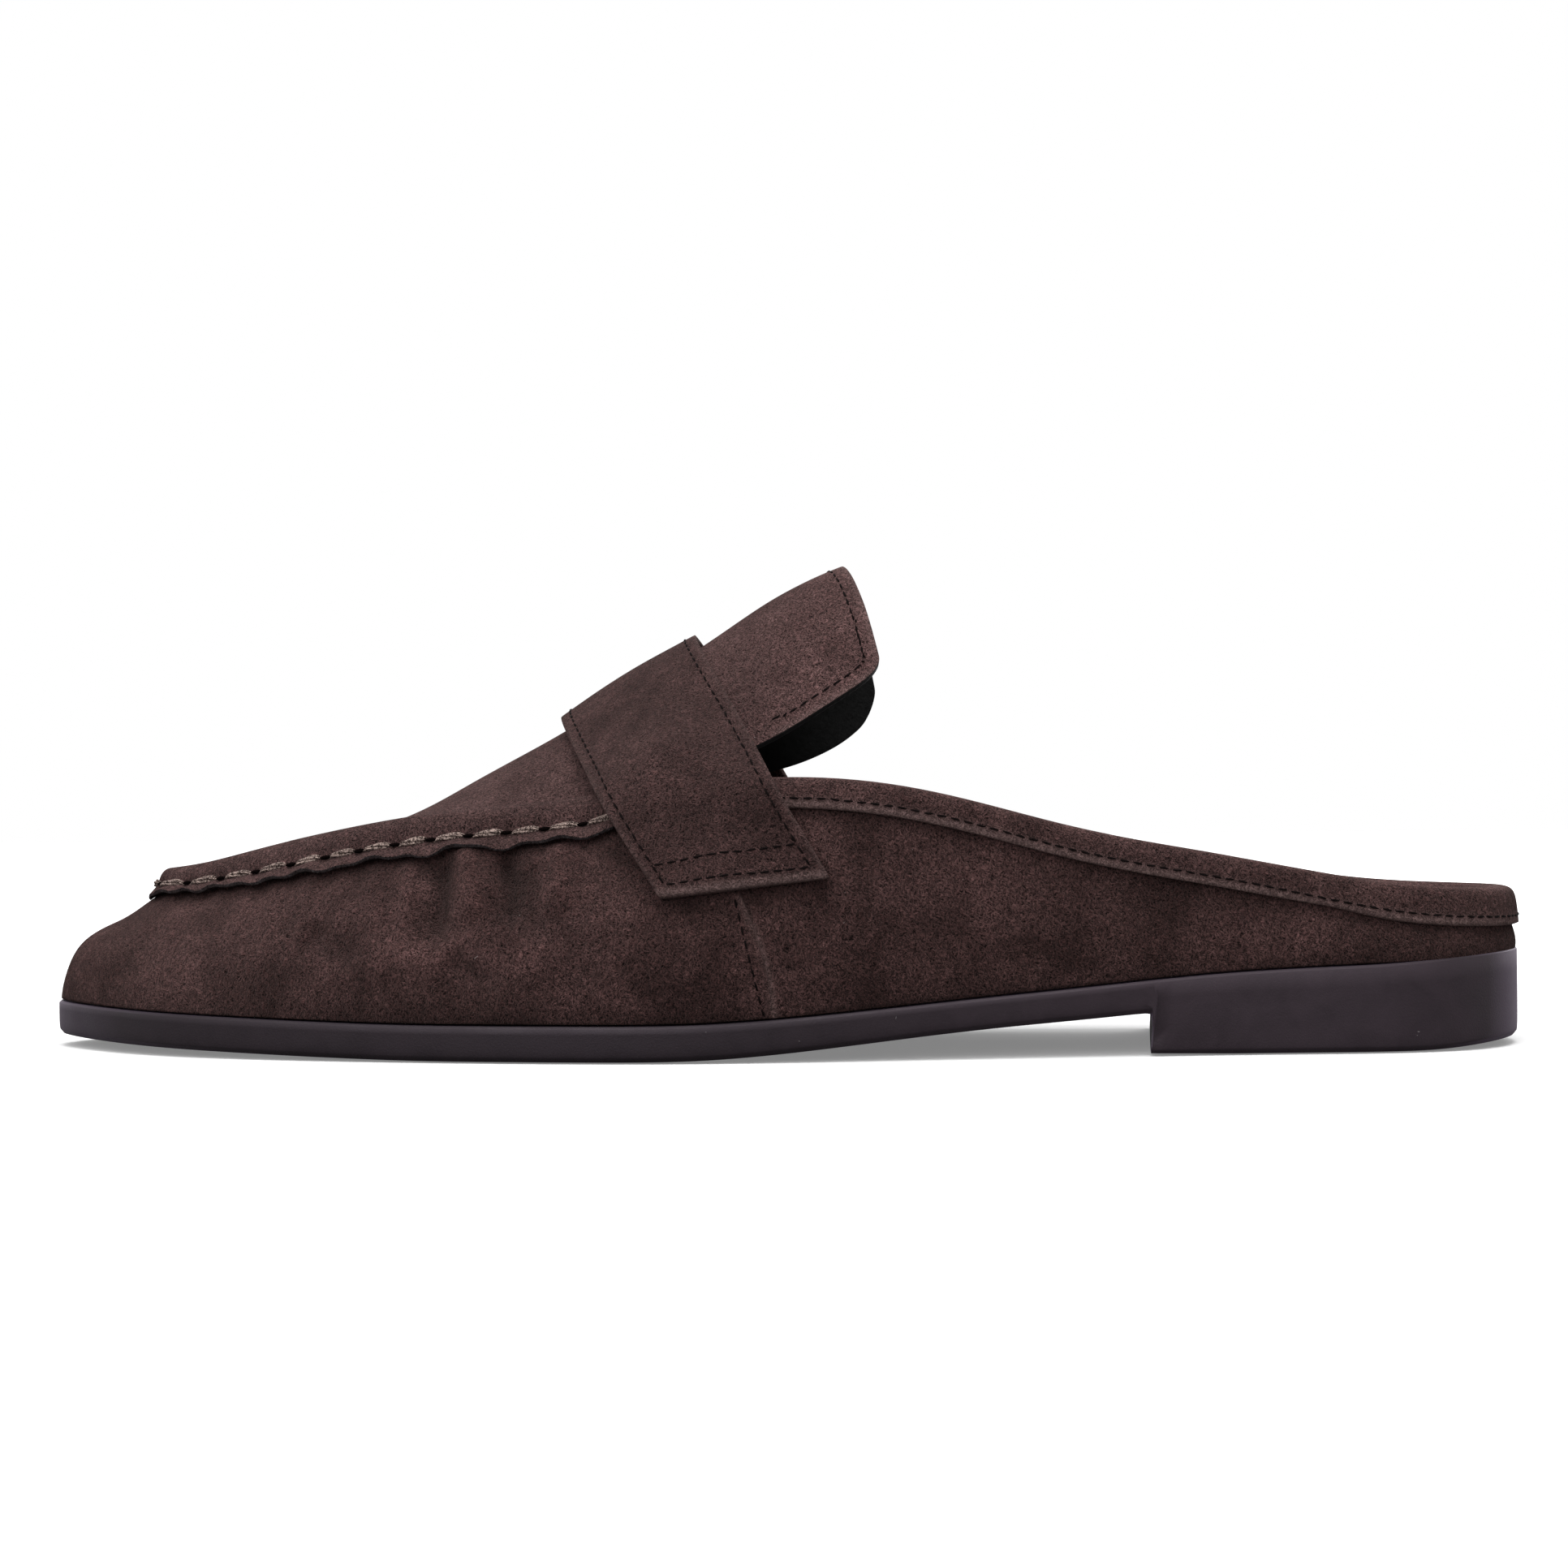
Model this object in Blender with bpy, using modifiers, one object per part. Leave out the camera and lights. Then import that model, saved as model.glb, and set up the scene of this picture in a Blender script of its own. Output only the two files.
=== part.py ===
"""Suede loafer mule for a left foot, toe towards -X, lateral side towards -Y, standing on z = 0.

The shoe is a low rubber outsole with its heel in one moulding, a sock insole, a skirt that goes
round the foot as one hollow wall, an apron with a raised seam that runs on into the tongue,
a strap across the instep and a folded binding round the collar.
"""

import math
from collections import namedtuple

import bmesh
import bpy
import numpy as np
from mathutils import Vector
from mathutils.bvhtree import BVHTree

# Driving sizes in metres
LENGTH = 0.262             # outsole from toe tip to the back of the heel
BALL_WIDTH = 0.084         # outsole across the ball of the foot
HEEL_WIDTH = 0.057         # outsole across the heel
SOLE_EDGE = 0.0062         # thickness of the outsole's edge
HEEL_HEIGHT = 0.0156       # floor to the top of the outsole at the back
HEEL_LENGTH = 0.0665       # back of the heel to its breast
BREAST_DEPTH = 0.0012      # how far the breast leans back from its top to the floor
HEEL_BEVEL = 0.0012        # how far the heel's rear edge clears the floor
TOE_SPRING = 0.0020        # how far the toe tip clears the floor
EDGE_ROUND = 0.0018        # radius of the outsole's lower edge
SOLE_LIP = 0.0004          # how far the outsole stands out past the upper
INSOLE = 0.0030            # thickness of the insole
WALL = 0.0020              # suede and lining together
VAMP_STEP = 0.0009         # how far the vamp lies over the quarter at the side seam
TOE_HEIGHT = 0.0282        # floor to the skirt's edge at the tip of the apron
COLLAR_HEIGHT = 0.0466     # floor to the wall's edge beside the strap
RIM_HEIGHT = 0.0250        # floor to the wall's edge at the back
APRON = 0.0014             # thickness of the apron and tongue
FLANGE = 0.0030            # raw edge of the apron outside its stitches
ROLL_WIDTH = 0.0038        # stitches to the crest of the raised seam, inwards
ROLL_HEIGHT = 0.0048       # stitches to the crest of the raised seam, upwards
CREST_HEIGHT = 0.0852      # floor to the tip of the tongue
TONGUE_REACH = 0.0124      # tip of the tongue behind the middle of the outsole
STRAP = 0.0019             # thickness of the strap
STRAP_WIDTH = 0.0280       # across the strap
STRAP_SLACK = 0.0007       # clearance under the strap
STRAP_LIFT = 0.0006        # how far more the middle of the strap swells off the instep
BINDING = 0.0012           # thickness of each leg of the collar binding
BINDING_DEPTH = 0.0060     # collar binding from its top to its raw edge
GAP = 0.0003               # clearance between pieces that touch

HALF_STATIONS = 46         # stations along each side of the shoe
WALL_ROWS = 10             # rows of faces up the skirt
PANEL_POINTS = 7           # points across the apron between its raised seams
STRAP_COLUMNS = 8          # columns of faces across the strap
STRAP_ROWS = 34            # rows of faces along the strap
GIRTHS = 4                 # girths measured under each column of the strap
HALF_LENGTH = LENGTH / 2
HALF_TURN = np.linspace(0, math.pi, STRAP_ROWS * 2 + 1)
UP = Vector((0, 0, 1))

# The last, in rows from toe to heel. Shares of length are measured from the toe tip, and
# sideways shares from the centre line, in widths of the ball or heel. The skirt's upper edge
# climbs from the toe or the rim, at 0, to the collar beside the strap, at 1. It leans inwards
# by so many degrees, and the wall bulges by a share of the ball's width.
Row = namedtuple("Row", "share lateral medial edge_share edge_lateral edge_medial climb lean bulge")
LAST = (
    Row(0.00, 0.071, 0.071, 0.086, 0.054, 0.054, 0.000, 60, 0.000),
    Row(0.03, -0.093, 0.236, 0.093, -0.038, 0.144, 0.010, 58, 0.004),
    Row(0.10, -0.270, 0.366, 0.127, -0.145, 0.232, 0.060, 52, 0.008),
    Row(0.20, -0.390, 0.448, 0.202, -0.258, 0.309, 0.260, 46, 0.012),
    Row(0.32, -0.470, 0.488, 0.307, -0.333, 0.339, 0.490, 42, 0.015),
    Row(0.42, -0.504, 0.464, 0.401, -0.357, 0.357, 0.640, 38, 0.015),
    Row(0.50, -0.502, 0.412, 0.464, -0.384, 0.366, 0.920, 28, 0.012),
    Row(0.60, -0.503, 0.386, 0.578, -0.440, 0.380, 0.920, 12, 0.008),
    Row(0.70, -0.520, 0.429, 0.691, -0.474, 0.415, 0.580, 8, 0.006),
    Row(0.80, -0.522, 0.486, 0.796, -0.482, 0.466, 0.330, 6, 0.006),
    Row(0.90, -0.495, 0.488, 0.897, -0.452, 0.448, 0.070, 4, 0.008),
    Row(0.96, -0.386, 0.382, 0.957, -0.355, 0.352, 0.005, 2, 0.010),
    Row(1.00, 0.000, 0.000, 0.993, 0.000, 0.000, 0.000, 0, 0.012),
)

# The outsole's run from toe to heel: toe spring, heel pitch and how much thinner its edge is at
# the waist, each as a share of its size
Run = namedtuple("Run", "share spring pitch thinner")
RUNS = (
    Run(0.00, 1.00, 0.00, 0.00),
    Run(0.08, 0.68, 0.00, 0.00),
    Run(0.16, 0.40, 0.00, 0.00),
    Run(0.23, 0.14, 0.00, 0.00),
    Run(0.29, 0.00, 0.00, 0.00),
    Run(0.44, 0.00, 0.00, 0.00),
    Run(0.50, 0.00, 0.08, 0.02),
    Run(0.55, 0.00, 0.19, 0.07),
    Run(0.60, 0.00, 0.32, 0.11),
    Run(0.65, 0.00, 0.45, 0.12),
    Run(0.70, 0.00, 0.57, 0.10),
    Run(0.75, 0.00, 0.70, 0.08),
    Run(0.80, 0.00, 0.81, 0.04),
    Run(0.88, 0.00, 0.91, 0.00),
    Run(1.00, 0.00, 1.00, 0.00),
)

# The apron's middle line from its tip to the end of the tongue: shares of the length and of
# the crest's height
Spine = namedtuple("Spine", "share height")
SPINE = (
    Spine(0.090, 0.350),
    Spine(0.155, 0.392),
    Spine(0.195, 0.428),
    Spine(0.233, 0.464),
    Spine(0.255, 0.489),
    Spine(0.300, 0.566),
    Spine(0.356, 0.658),
    Spine(0.405, 0.752),
    Spine(0.450, 0.832),
    Spine(0.505, 0.943),
    Spine(0.547, 1.000),
)

# Ribs of the tongue from the strap to its end: places along from the middle of the outsole in
# tongue reaches, sideways in ball widths, heights in crest heights, and the share of the
# raised seam that is left
Rib = namedtuple("Rib", "lat_x lat_y lat_z med_x med_y med_z spine_x seam")
TONGUE = (
    Rib(-1.30, -0.388, 0.546, -1.30, 0.386, 0.543, -2.15, 0.75),
    Rib(-0.85, -0.345, 0.563, -0.80, 0.342, 0.556, -1.70, 0.40),
    Rib(-0.33, -0.310, 0.603, -0.25, 0.300, 0.575, -1.25, 0.12),
    Rib(0.18, -0.274, 0.637, 0.22, 0.284, 0.588, -0.75, 0.00),
    Rib(0.73, -0.256, 0.688, 0.77, 0.282, 0.620, -0.10, 0.00),
    Rib(1.22, -0.245, 0.733, 1.17, 0.284, 0.660, 0.48, 0.00),
    Rib(1.48, -0.236, 0.760, 1.35, 0.281, 0.692, 0.82, 0.00),
    Rib(1.59, -0.221, 0.787, 1.47, 0.268, 0.744, 1.00, 0.00),
)

# The strap's middle line where it crosses the crest and at its ends: share of the length,
# share of the crest's height, and slope of the strap's width in degrees
Saddle = namedtuple("Saddle", "share height slope")
STRAP_CREST = Saddle(0.4035, 0.765, 30.0)
STRAP_END = Saddle(0.4895, 0.334, 6.5)

# Shares of the length
SEAM_SHARE = 0.507         # foot of the side seam
SEAM_STEP = 0.0008         # width of the seam's cut edge
SEAM_FADE = 0.09           # length over which the vamp comes up to its full step
BINDING_START = 0.517      # front end of the collar binding, under the strap
APRON_END = 0.430          # last place on the skirt that the raised seam follows
SEAM_GROWTH = 0.20         # length over which the raised seam grows to its full size
CROWN_LEAD = 0.030         # how far the apron's crown runs ahead of its edges at the strap
WAIST_START = 0.45         # end of the part measured in ball widths
WAIST_END = 0.85           # start of the part measured in heel widths

# Other shares
FOOT_PULL = 0.35           # how straight the wall leaves the outsole, of its height
EDGE_PULL = 0.40           # how straight the wall arrives at its edge, of its height
STEP_RISE = 0.20           # climb over which the vamp's step grows from the outsole
TIP_SEAM = 0.62            # size of the raised seam at the apron's tip, of its full size
SEAM_SINK = 0.70           # how far the stitches pull the apron back from the edge, of APRON
BEHIND_CREST = ((1.55, 0.88), (2.10, 0.72))  # width and height of the raised seam's back
ARCH_RISE = 2.4            # power of the arch's height, flat-topped when high
ARCH_LEAD = 1.5            # power of the arch's forward bow
APRON_CROWN = 0.035        # crown of the apron off its middle, of its width there
TONGUE_CROWN = 0.03        # crown of the tongue off the shoe's middle line, of BALL_WIDTH
RAW_EDGE = 0.80            # thickness of the binding at its raw edges, of BINDING
SWELL = 1.20               # thickness of the binding half way up its legs, of BINDING

TURN_STEP = 0.003          # small turn for slopes along the skirt
FAR = 0.2                  # longer than any ray inside the shoe, in metres


def smooth_curve(xs, ys):
    """Curve through the points that never overshoots them, as a function."""
    xs = np.asarray(xs, float)
    ys = np.asarray(ys, float)
    steps = np.diff(xs)
    slopes = np.diff(ys) / steps
    tangents = np.zeros(len(xs))
    tangents[0] = slopes[0]
    tangents[-1] = slopes[-1]
    for i in range(1, len(xs) - 1):
        if slopes[i - 1] * slopes[i] > 0:
            before = 2 * steps[i] + steps[i - 1]
            after = steps[i] + 2 * steps[i - 1]
            tangents[i] = (before + after) / (before / slopes[i - 1] + after / slopes[i])

    def value(x):
        x = float(np.clip(x, xs[0], xs[-1]))
        i = int(np.clip(np.searchsorted(xs, x) - 1, 0, len(steps) - 1))
        h = steps[i]
        t = (x - xs[i]) / h
        rise = 3 * t**2 - 2 * t**3
        leave = t**3 - 2 * t**2 + t
        arrive = t**3 - t**2
        return float(ys[i] * (1 - rise) + ys[i + 1] * rise
                     + h * (leave * tangents[i] + arrive * tangents[i + 1]))

    return value


def closed_curve(angles, values):
    """Curve of even curvature through values round a full turn, as a function."""
    count = len(angles)
    angles = np.asarray(angles, float)
    values = np.asarray(values, float)
    steps = np.diff(np.append(angles, angles[0] + 2 * math.pi))
    slopes = (np.roll(values, -1) - values) / steps
    matrix = np.zeros((count, count))
    for i in range(count):
        matrix[i, i - 1] += steps[i - 1]
        matrix[i, i] += 2 * (steps[i - 1] + steps[i])
        matrix[i, (i + 1) % count] += steps[i]
    bends = np.linalg.solve(matrix, 6 * (slopes - np.roll(slopes, 1)))

    def value(angle):
        angle = angle % (2 * math.pi)
        i = int(np.searchsorted(angles, angle, side="right") - 1)
        j = (i + 1) % count
        h = steps[i]
        t = angle - angles[i]
        return float(bends[i] * (h - t)**3 / (6 * h) + bends[j] * t**3 / (6 * h)
                     + (values[i] / h - bends[i] * h / 6) * (h - t)
                     + (values[j] / h - bends[j] * h / 6) * t)

    return value


def angle_of(share):
    """Station angle of a share of the length: 0 at the toe tip, half a turn at the heel."""
    return math.acos(1 - 2 * share)


def share_of(angle):
    return (1 - math.cos(angle)) / 2


def along(share):
    return LENGTH * share - HALF_LENGTH


def ease(value):
    value = min(max(value, 0), 1)
    return value * value * (3 - 2 * value)


def local_width(share):
    """Ball width ahead of the waist, heel width behind it."""
    heel = ease((share - WAIST_START) / (WAIST_END - WAIST_START))
    return BALL_WIDTH * (1 - heel) + HEEL_WIDTH * heel


def edge_height(row):
    low = TOE_HEIGHT if row.share < 0.5 else RIM_HEIGHT
    return low + (COLLAR_HEIGHT - low) * row.climb


def around(lateral, medial):
    """A closed curve from one value per row of the last on each side."""
    angles = [angle_of(row.share) for row in LAST]
    values = [lateral(row) for row in LAST]
    for row in LAST[-2:0:-1]:
        angles.append(2 * math.pi - angle_of(row.share))
        values.append(medial(row))
    return closed_curve(angles, values)


def around_both(value):
    return around(value, value)


outline_y = around(lambda row: row.lateral * local_width(row.share),
                   lambda row: row.medial * local_width(row.share))
edge_x = around_both(lambda row: along(row.edge_share))
edge_y = around(lambda row: row.edge_lateral * local_width(row.share),
                lambda row: row.edge_medial * local_width(row.share))
edge_z = around_both(edge_height)
edge_lean = around_both(lambda row: math.radians(row.lean))
wall_bulge = around_both(lambda row: row.bulge * BALL_WIDTH)
toe_spring = smooth_curve([row.share for row in RUNS], [row.spring * TOE_SPRING for row in RUNS])
heel_pitch = smooth_curve([row.share for row in RUNS],
                          [row.pitch * (HEEL_HEIGHT - SOLE_EDGE) for row in RUNS])
waist_thinning = smooth_curve([row.share for row in RUNS], [row.thinner * SOLE_EDGE for row in RUNS])
spine_z = smooth_curve([along(point.share) for point in SPINE],
                       [point.height * CREST_HEIGHT for point in SPINE])


def sole_top(x):
    share = (x + HALF_LENGTH) / LENGTH
    return toe_spring(share) + heel_pitch(share) + SOLE_EDGE


def sole_bottom(x):
    """Height of the outsole's underside under the forefoot and waist."""
    return sole_top(x) - SOLE_EDGE + waist_thinning((x + HALF_LENGTH) / LENGTH)


def heel_bottom(x):
    """Height of the underside with the heel: a leaning breast, a flat and a rear bevel."""
    breast = HALF_LENGTH - HEEL_LENGTH
    drop = ease((x - breast) / BREAST_DEPTH)
    bevel = ease((x - (HALF_LENGTH - HEEL_LENGTH / 3)) / (HEEL_LENGTH / 3))
    return sole_bottom(x) * (1 - drop) + HEEL_BEVEL * bevel * drop


def outline(angle, inset=0.0):
    """Level point of the outsole's outline, moved in by an inset, and its outward direction."""
    def place(a):
        return Vector((along(share_of(a)), outline_y(a), 0))
    run = place(angle + TURN_STEP) - place(angle - TURN_STEP)
    outward = Vector((run.y, -run.x, 0)).normalized()
    return place(angle) - outward * inset, outward


def skirt_edge(angle):
    return Vector((edge_x(angle), edge_y(angle), edge_z(angle)))


def skirt_section(angle):
    """Control points of the skirt's curve from the outsole up to its edge."""
    foot, outward = outline(angle, SOLE_LIP)
    foot.z = sole_top(foot.x) + GAP
    edge = skirt_edge(angle)
    lean = edge_lean(angle)
    arrival = UP * math.cos(lean) - outward * math.sin(lean)
    low = foot + UP * (edge.z - foot.z) * FOOT_PULL + outward * wall_bulge(angle)
    high = edge - arrival * (edge - foot).length * EDGE_PULL
    return foot, low, high, edge


def skirt_point(angle, climb):
    """Point of the skirt: climb runs from 0 at the outsole to 1 at the edge."""
    foot, low, high, edge = skirt_section(angle)
    fall = 1 - climb
    return (foot * fall**3 + low * 3 * fall**2 * climb
            + high * 3 * fall * climb**2 + edge * climb**3)


def skirt_normal(angle, climb):
    run = skirt_point(angle + TURN_STEP, climb) - skirt_point(angle - TURN_STEP, climb)
    above = skirt_point(angle, min(climb + TURN_STEP, 1))
    rise = above - skirt_point(angle, max(climb - TURN_STEP, 0))
    return run.cross(rise).normalized()


def skirt_layer(angle, climb, offset):
    """Point at a distance outside the skirt's surface, never below the outsole's top."""
    point = skirt_point(angle, climb) + skirt_normal(angle, climb) * offset
    if climb == 0:
        point.z = sole_top(point.x) + GAP
    return point


def vamp_step(angle, climb):
    """Height of the vamp over the quarter: full at the side seam, gone further forward."""
    share = share_of(angle)
    if share > SEAM_SHARE - SEAM_STEP / 2:
        return 0.0
    return VAMP_STEP * ease(1 - (SEAM_SHARE - share) / SEAM_FADE) * ease(climb / STEP_RISE)


def climb_at(angle, depth):
    """Climb of the skirt's point at a depth below its edge."""
    edge = skirt_edge(angle)
    high = skirt_section(angle)[2]
    speed = 3 * (edge - high).length
    climb = 1 - depth / speed
    for _ in range(6):
        climb += ((edge - skirt_point(angle, climb)).length - depth) / speed
    return climb


def stations(*marks):
    """Angles from the toe tip to the heel, with the marked shares of the length among them."""
    spacing = math.pi / HALF_STATIONS
    marked = [angle_of(share) for share in marks]
    even = [spacing * i for i in range(HALF_STATIONS + 1)]
    free = [a for a in even if all(abs(a - mark) > spacing * 0.4 for mark in marked)]
    return sorted(free + marked)


def whole_turn(half):
    return half + [2 * math.pi - angle for angle in reversed(half[1:-1])]


def loft_faces(rings, size, wrap_rings=False, wrap_size=True):
    """Quads between neighbouring rings of points."""
    faces = []
    for ring in range(rings if wrap_rings else rings - 1):
        following = (ring + 1) % rings
        for i in range(size if wrap_size else size - 1):
            j = (i + 1) % size
            faces.append((ring * size + i, ring * size + j, following * size + j,
                          following * size + i))
    return faces


def across_faces(first, size):
    """Faces that close a ring of the shoe's plan by ribs from side to side."""
    faces = [(first, first + 1, first + size - 1)]
    for i in range(1, size // 2 - 1):
        faces.append((first + i, first + i + 1, first + size - i - 1, first + size - i))
    faces.append((first + size // 2 - 1, first + size // 2, first + size // 2 + 1))
    return faces


def material(name, colour, roughness):
    made = bpy.data.materials.new(name)
    made.use_nodes = True
    shader = made.node_tree.nodes["Principled BSDF"]
    shader.inputs["Base Color"].default_value = (*colour, 1)
    shader.inputs["Roughness"].default_value = roughness
    shader.inputs["Metallic"].default_value = 0
    made.diffuse_color = (*colour, 1)
    return made


def add_piece(name, points, faces, finish, closed=True):
    """A mesh object with outward faces and its own material."""
    mesh = bpy.data.meshes.new(name)
    mesh.from_pydata([tuple(point) for point in points], [], faces)
    if closed:
        solid = bmesh.new()
        solid.from_mesh(mesh)
        bmesh.ops.recalc_face_normals(solid, faces=solid.faces)
        solid.to_mesh(mesh)
        solid.free()
    mesh.shade_smooth()
    mesh.set_sharp_from_angle(angle=math.radians(40))
    mesh.materials.append(finish)
    piece = bpy.data.objects.new(name, mesh)
    shoe.objects.link(piece)
    return piece


def thicken(piece, thickness, outwards):
    """Give an open sheet its thickness on one side."""
    wall = piece.modifiers.new("thickness", "SOLIDIFY")
    wall.thickness = thickness
    wall.offset = 1 if outwards else -1
    wall.use_even_offset = True
    wall.use_quality_normals = True


def make_outsole():
    breast = 1 - HEEL_LENGTH / LENGTH
    lean = BREAST_DEPTH / LENGTH
    angles = whole_turn(stations(breast, breast + lean / 2, breast + lean))
    points = []
    for turn in (0, 35, 65, 90):
        away = EDGE_ROUND * (1 - math.sin(math.radians(turn)))
        rise = EDGE_ROUND * (1 - math.cos(math.radians(turn)))
        for angle in angles:
            point = outline(angle, away)[0]
            point.z = heel_bottom(point.x) + rise
            points.append(point)
    top_round = EDGE_ROUND / 4
    for inset, fall in ((0, top_round), (top_round, 0)):
        for angle in angles:
            point = outline(angle, inset)[0]
            point.z = sole_top(point.x) - fall
            points.append(point)
    rings = len(points) // len(angles)
    faces = loft_faces(rings, len(angles))
    faces += across_faces(0, len(angles))
    faces += across_faces(len(points) - len(angles), len(angles))
    return add_piece("outsole", points, faces, material("rubber", (0.030, 0.027, 0.030), 0.55))


def make_insole():
    angles = whole_turn(stations())
    inset = SOLE_LIP + WALL + 3 * GAP
    soft_edge = INSOLE / 5
    points = []
    for away, rise in ((inset, GAP), (inset, GAP + INSOLE - soft_edge),
                       (inset + soft_edge, GAP + INSOLE)):
        for angle in angles:
            point = outline(angle, away)[0]
            point.z = sole_top(point.x) + rise
            points.append(point)
    faces = loft_faces(3, len(angles))
    faces += across_faces(0, len(angles))
    faces += across_faces(2 * len(angles), len(angles))
    return add_piece("insole", points, faces, material("sock", (0.014, 0.012, 0.012), 0.8))


def make_upper(suede):
    angles = whole_turn(stations(SEAM_SHARE - SEAM_STEP, SEAM_SHARE))
    climbs = [row / WALL_ROWS for row in range(WALL_ROWS + 1)]
    points = []
    for climb in climbs:
        points += [skirt_layer(angle, climb, vamp_step(angle, climb)) for angle in angles]
    for climb in reversed(climbs):
        points += [skirt_layer(angle, climb, -WALL) for angle in angles]
    faces = loft_faces(2 * len(climbs), len(angles), wrap_rings=True)
    return add_piece("upper", points, faces, suede)


def seam_profile(angle):
    """The apron's raised seam: its flange, the stitch line, the roll and the valley inside."""
    section = skirt_section(angle)
    edge = section[3]
    arrival = (edge - section[2]).normalized()
    normal = skirt_normal(angle, 1)
    run = skirt_edge(angle + TURN_STEP) - skirt_edge(angle - TURN_STEP)
    inward = Vector((-run.y, run.x, 0)).normalized()
    size = TIP_SEAM + (1 - TIP_SEAM) * ease(share_of(angle) / SEAM_GROWTH)
    flange = arrival * FLANGE * size
    width = inward * ROLL_WIDTH * size
    height = UP * ROLL_HEIGHT * size
    stitches = edge + normal * (vamp_step(angle, 1) + GAP + APRON) - arrival * APRON * SEAM_SINK
    points = [stitches - flange + normal * GAP, stitches - flange / 2 + normal * GAP / 2, stitches]
    for turn in (35, 65, 90):
        turn = math.radians(turn)
        points.append(stitches + width * (1 - math.cos(turn)) + height * math.sin(turn))
    for out, up in BEHIND_CREST:
        points.append(stitches + width * out + height * up)
    return points


def arch(left, right, spine, q):
    """Point on the arch from one edge (q = -1) over the spine to the other (q = 1)."""
    base = left.lerp(right, (q + 1) / 2)
    crown = spine - (left + right) / 2
    rise = 1 - abs(q)**ARCH_RISE
    lead = 1 - abs(q)**ARCH_LEAD
    return base + Vector((crown.x * lead, crown.y * rise, crown.z * rise))


def apron_rib(angle):
    """Points across the apron from flange to flange at a station of the skirt."""
    left = seam_profile(angle)
    right = seam_profile(2 * math.pi - angle)
    middle = (left[-1] + right[-1]) / 2
    x = middle.x - CROWN_LEAD * LENGTH * ease(share_of(angle) / APRON_END)
    crown = APRON_CROWN * (right[-1].y - left[-1].y)
    spine = Vector((x, middle.y + crown, spine_z(x)))
    panel = []
    for i in range(1, PANEL_POINTS + 1):
        panel.append(arch(left[-1], right[-1], spine, 2 * i / (PANEL_POINTS + 1) - 1))
    return left + panel + right[::-1]


def tongue_ribs(last):
    """Ribs that carry the apron on under the strap and out to the end of the tongue."""
    def place(x, y, z):
        return Vector((x * TONGUE_REACH, y * BALL_WIDTH, z * CREST_HEIGHT))

    spread = last[-1].y - last[0].y
    places = [2 * (point.y - last[0].y) / spread - 1 for point in last]
    x = last[len(last) // 2].x
    spine = Vector((x, last[len(last) // 2].y, spine_z(x)))
    shape = [point - arch(last[0], last[-1], spine, q) for point, q in zip(last, places)]
    ribs = []
    for row in TONGUE:
        left = place(row.lat_x, row.lat_y, row.lat_z)
        right = place(row.med_x, row.med_y, row.med_z)
        x = row.spine_x * TONGUE_REACH
        spine = Vector((x, BALL_WIDTH * TONGUE_CROWN, spine_z(x)))
        ribs.append([arch(left, right, spine, q) + detail * row.seam
                     for q, detail in zip(places, shape)])
    return ribs


def make_apron(suede):
    tip = seam_profile(0)
    ribs = [apron_rib(a) for a in stations(APRON_END) if 0 < share_of(a) < APRON_END + 1e-6]
    ribs += tongue_ribs(ribs[-1])
    size = len(ribs[0])
    seam = len(tip)
    points = [point for rib in ribs for point in rib] + tip
    start = len(points) - seam
    faces = loft_faces(len(ribs), size, wrap_size=False)
    for i in range(seam - 1):
        faces.append((start + i, start + i + 1, i + 1, i))
        faces.append((start + i + 1, start + i, size - 1 - i, size - 2 - i))
    for i in range(seam - 1, size - seam):
        faces.append((start + seam - 1, i + 1, i))
    piece = add_piece("apron_tongue", points, faces, suede, closed=False)
    turn_up(piece)
    thicken(piece, APRON, outwards=False)
    return piece


def turn_up(piece):
    """Make the faces of an open sheet agree, and face upwards."""
    sheet = bmesh.new()
    sheet.from_mesh(piece.data)
    bmesh.ops.recalc_face_normals(sheet, faces=sheet.faces)
    if sum(face.normal.z * face.calc_area() for face in sheet.faces) < 0:
        bmesh.ops.reverse_faces(sheet, faces=sheet.faces)
    sheet.to_mesh(piece.data)
    sheet.free()


def binding_section(angle):
    """Closed section of the binding: down the outside, up the channel and round the top."""
    section = skirt_section(angle)
    edge = section[3]
    arrival = (edge - section[2]).normalized()
    normal = skirt_normal(angle, 1)

    def leg(depth, offset):
        climb = climb_at(angle, depth)
        return skirt_point(angle, climb) + skirt_normal(angle, climb) * offset

    low = BINDING_DEPTH - GAP - BINDING
    points = [leg(low, GAP), leg(low, GAP + BINDING * RAW_EDGE),
              leg(low / 2, GAP + BINDING * SWELL)]
    centre = edge - normal * WALL / 2
    for turn in (15, 50, 90, 130, 165):
        turn = math.radians(turn)
        points.append(centre + normal * (WALL / 2 + GAP + BINDING) * math.cos(turn)
                      + arrival * (GAP + BINDING) * math.sin(turn))
    points += [leg(low / 2, -WALL - GAP - BINDING * SWELL),
               leg(low, -WALL - GAP - BINDING * RAW_EDGE),
               leg(low, -WALL - GAP), leg(low / 2, -WALL - GAP),
               edge + arrival * GAP - normal * (WALL + GAP),
               edge + arrival * GAP + normal * GAP, leg(low / 2, GAP)]
    return points


def make_binding(suede):
    half = [a for a in stations(BINDING_START) if share_of(a) > BINDING_START - 1e-6]
    angles = half + [2 * math.pi - a for a in reversed(half[:-1])]
    sections = [binding_section(angle) for angle in angles]
    size = len(sections[0])
    points = [point for section in sections for point in section]
    faces = loft_faces(len(sections), size)
    faces.append(tuple(range(size)))
    faces.append(tuple(range(len(points) - size, len(points))))
    return add_piece("collar_binding", points, faces, suede)


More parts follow.
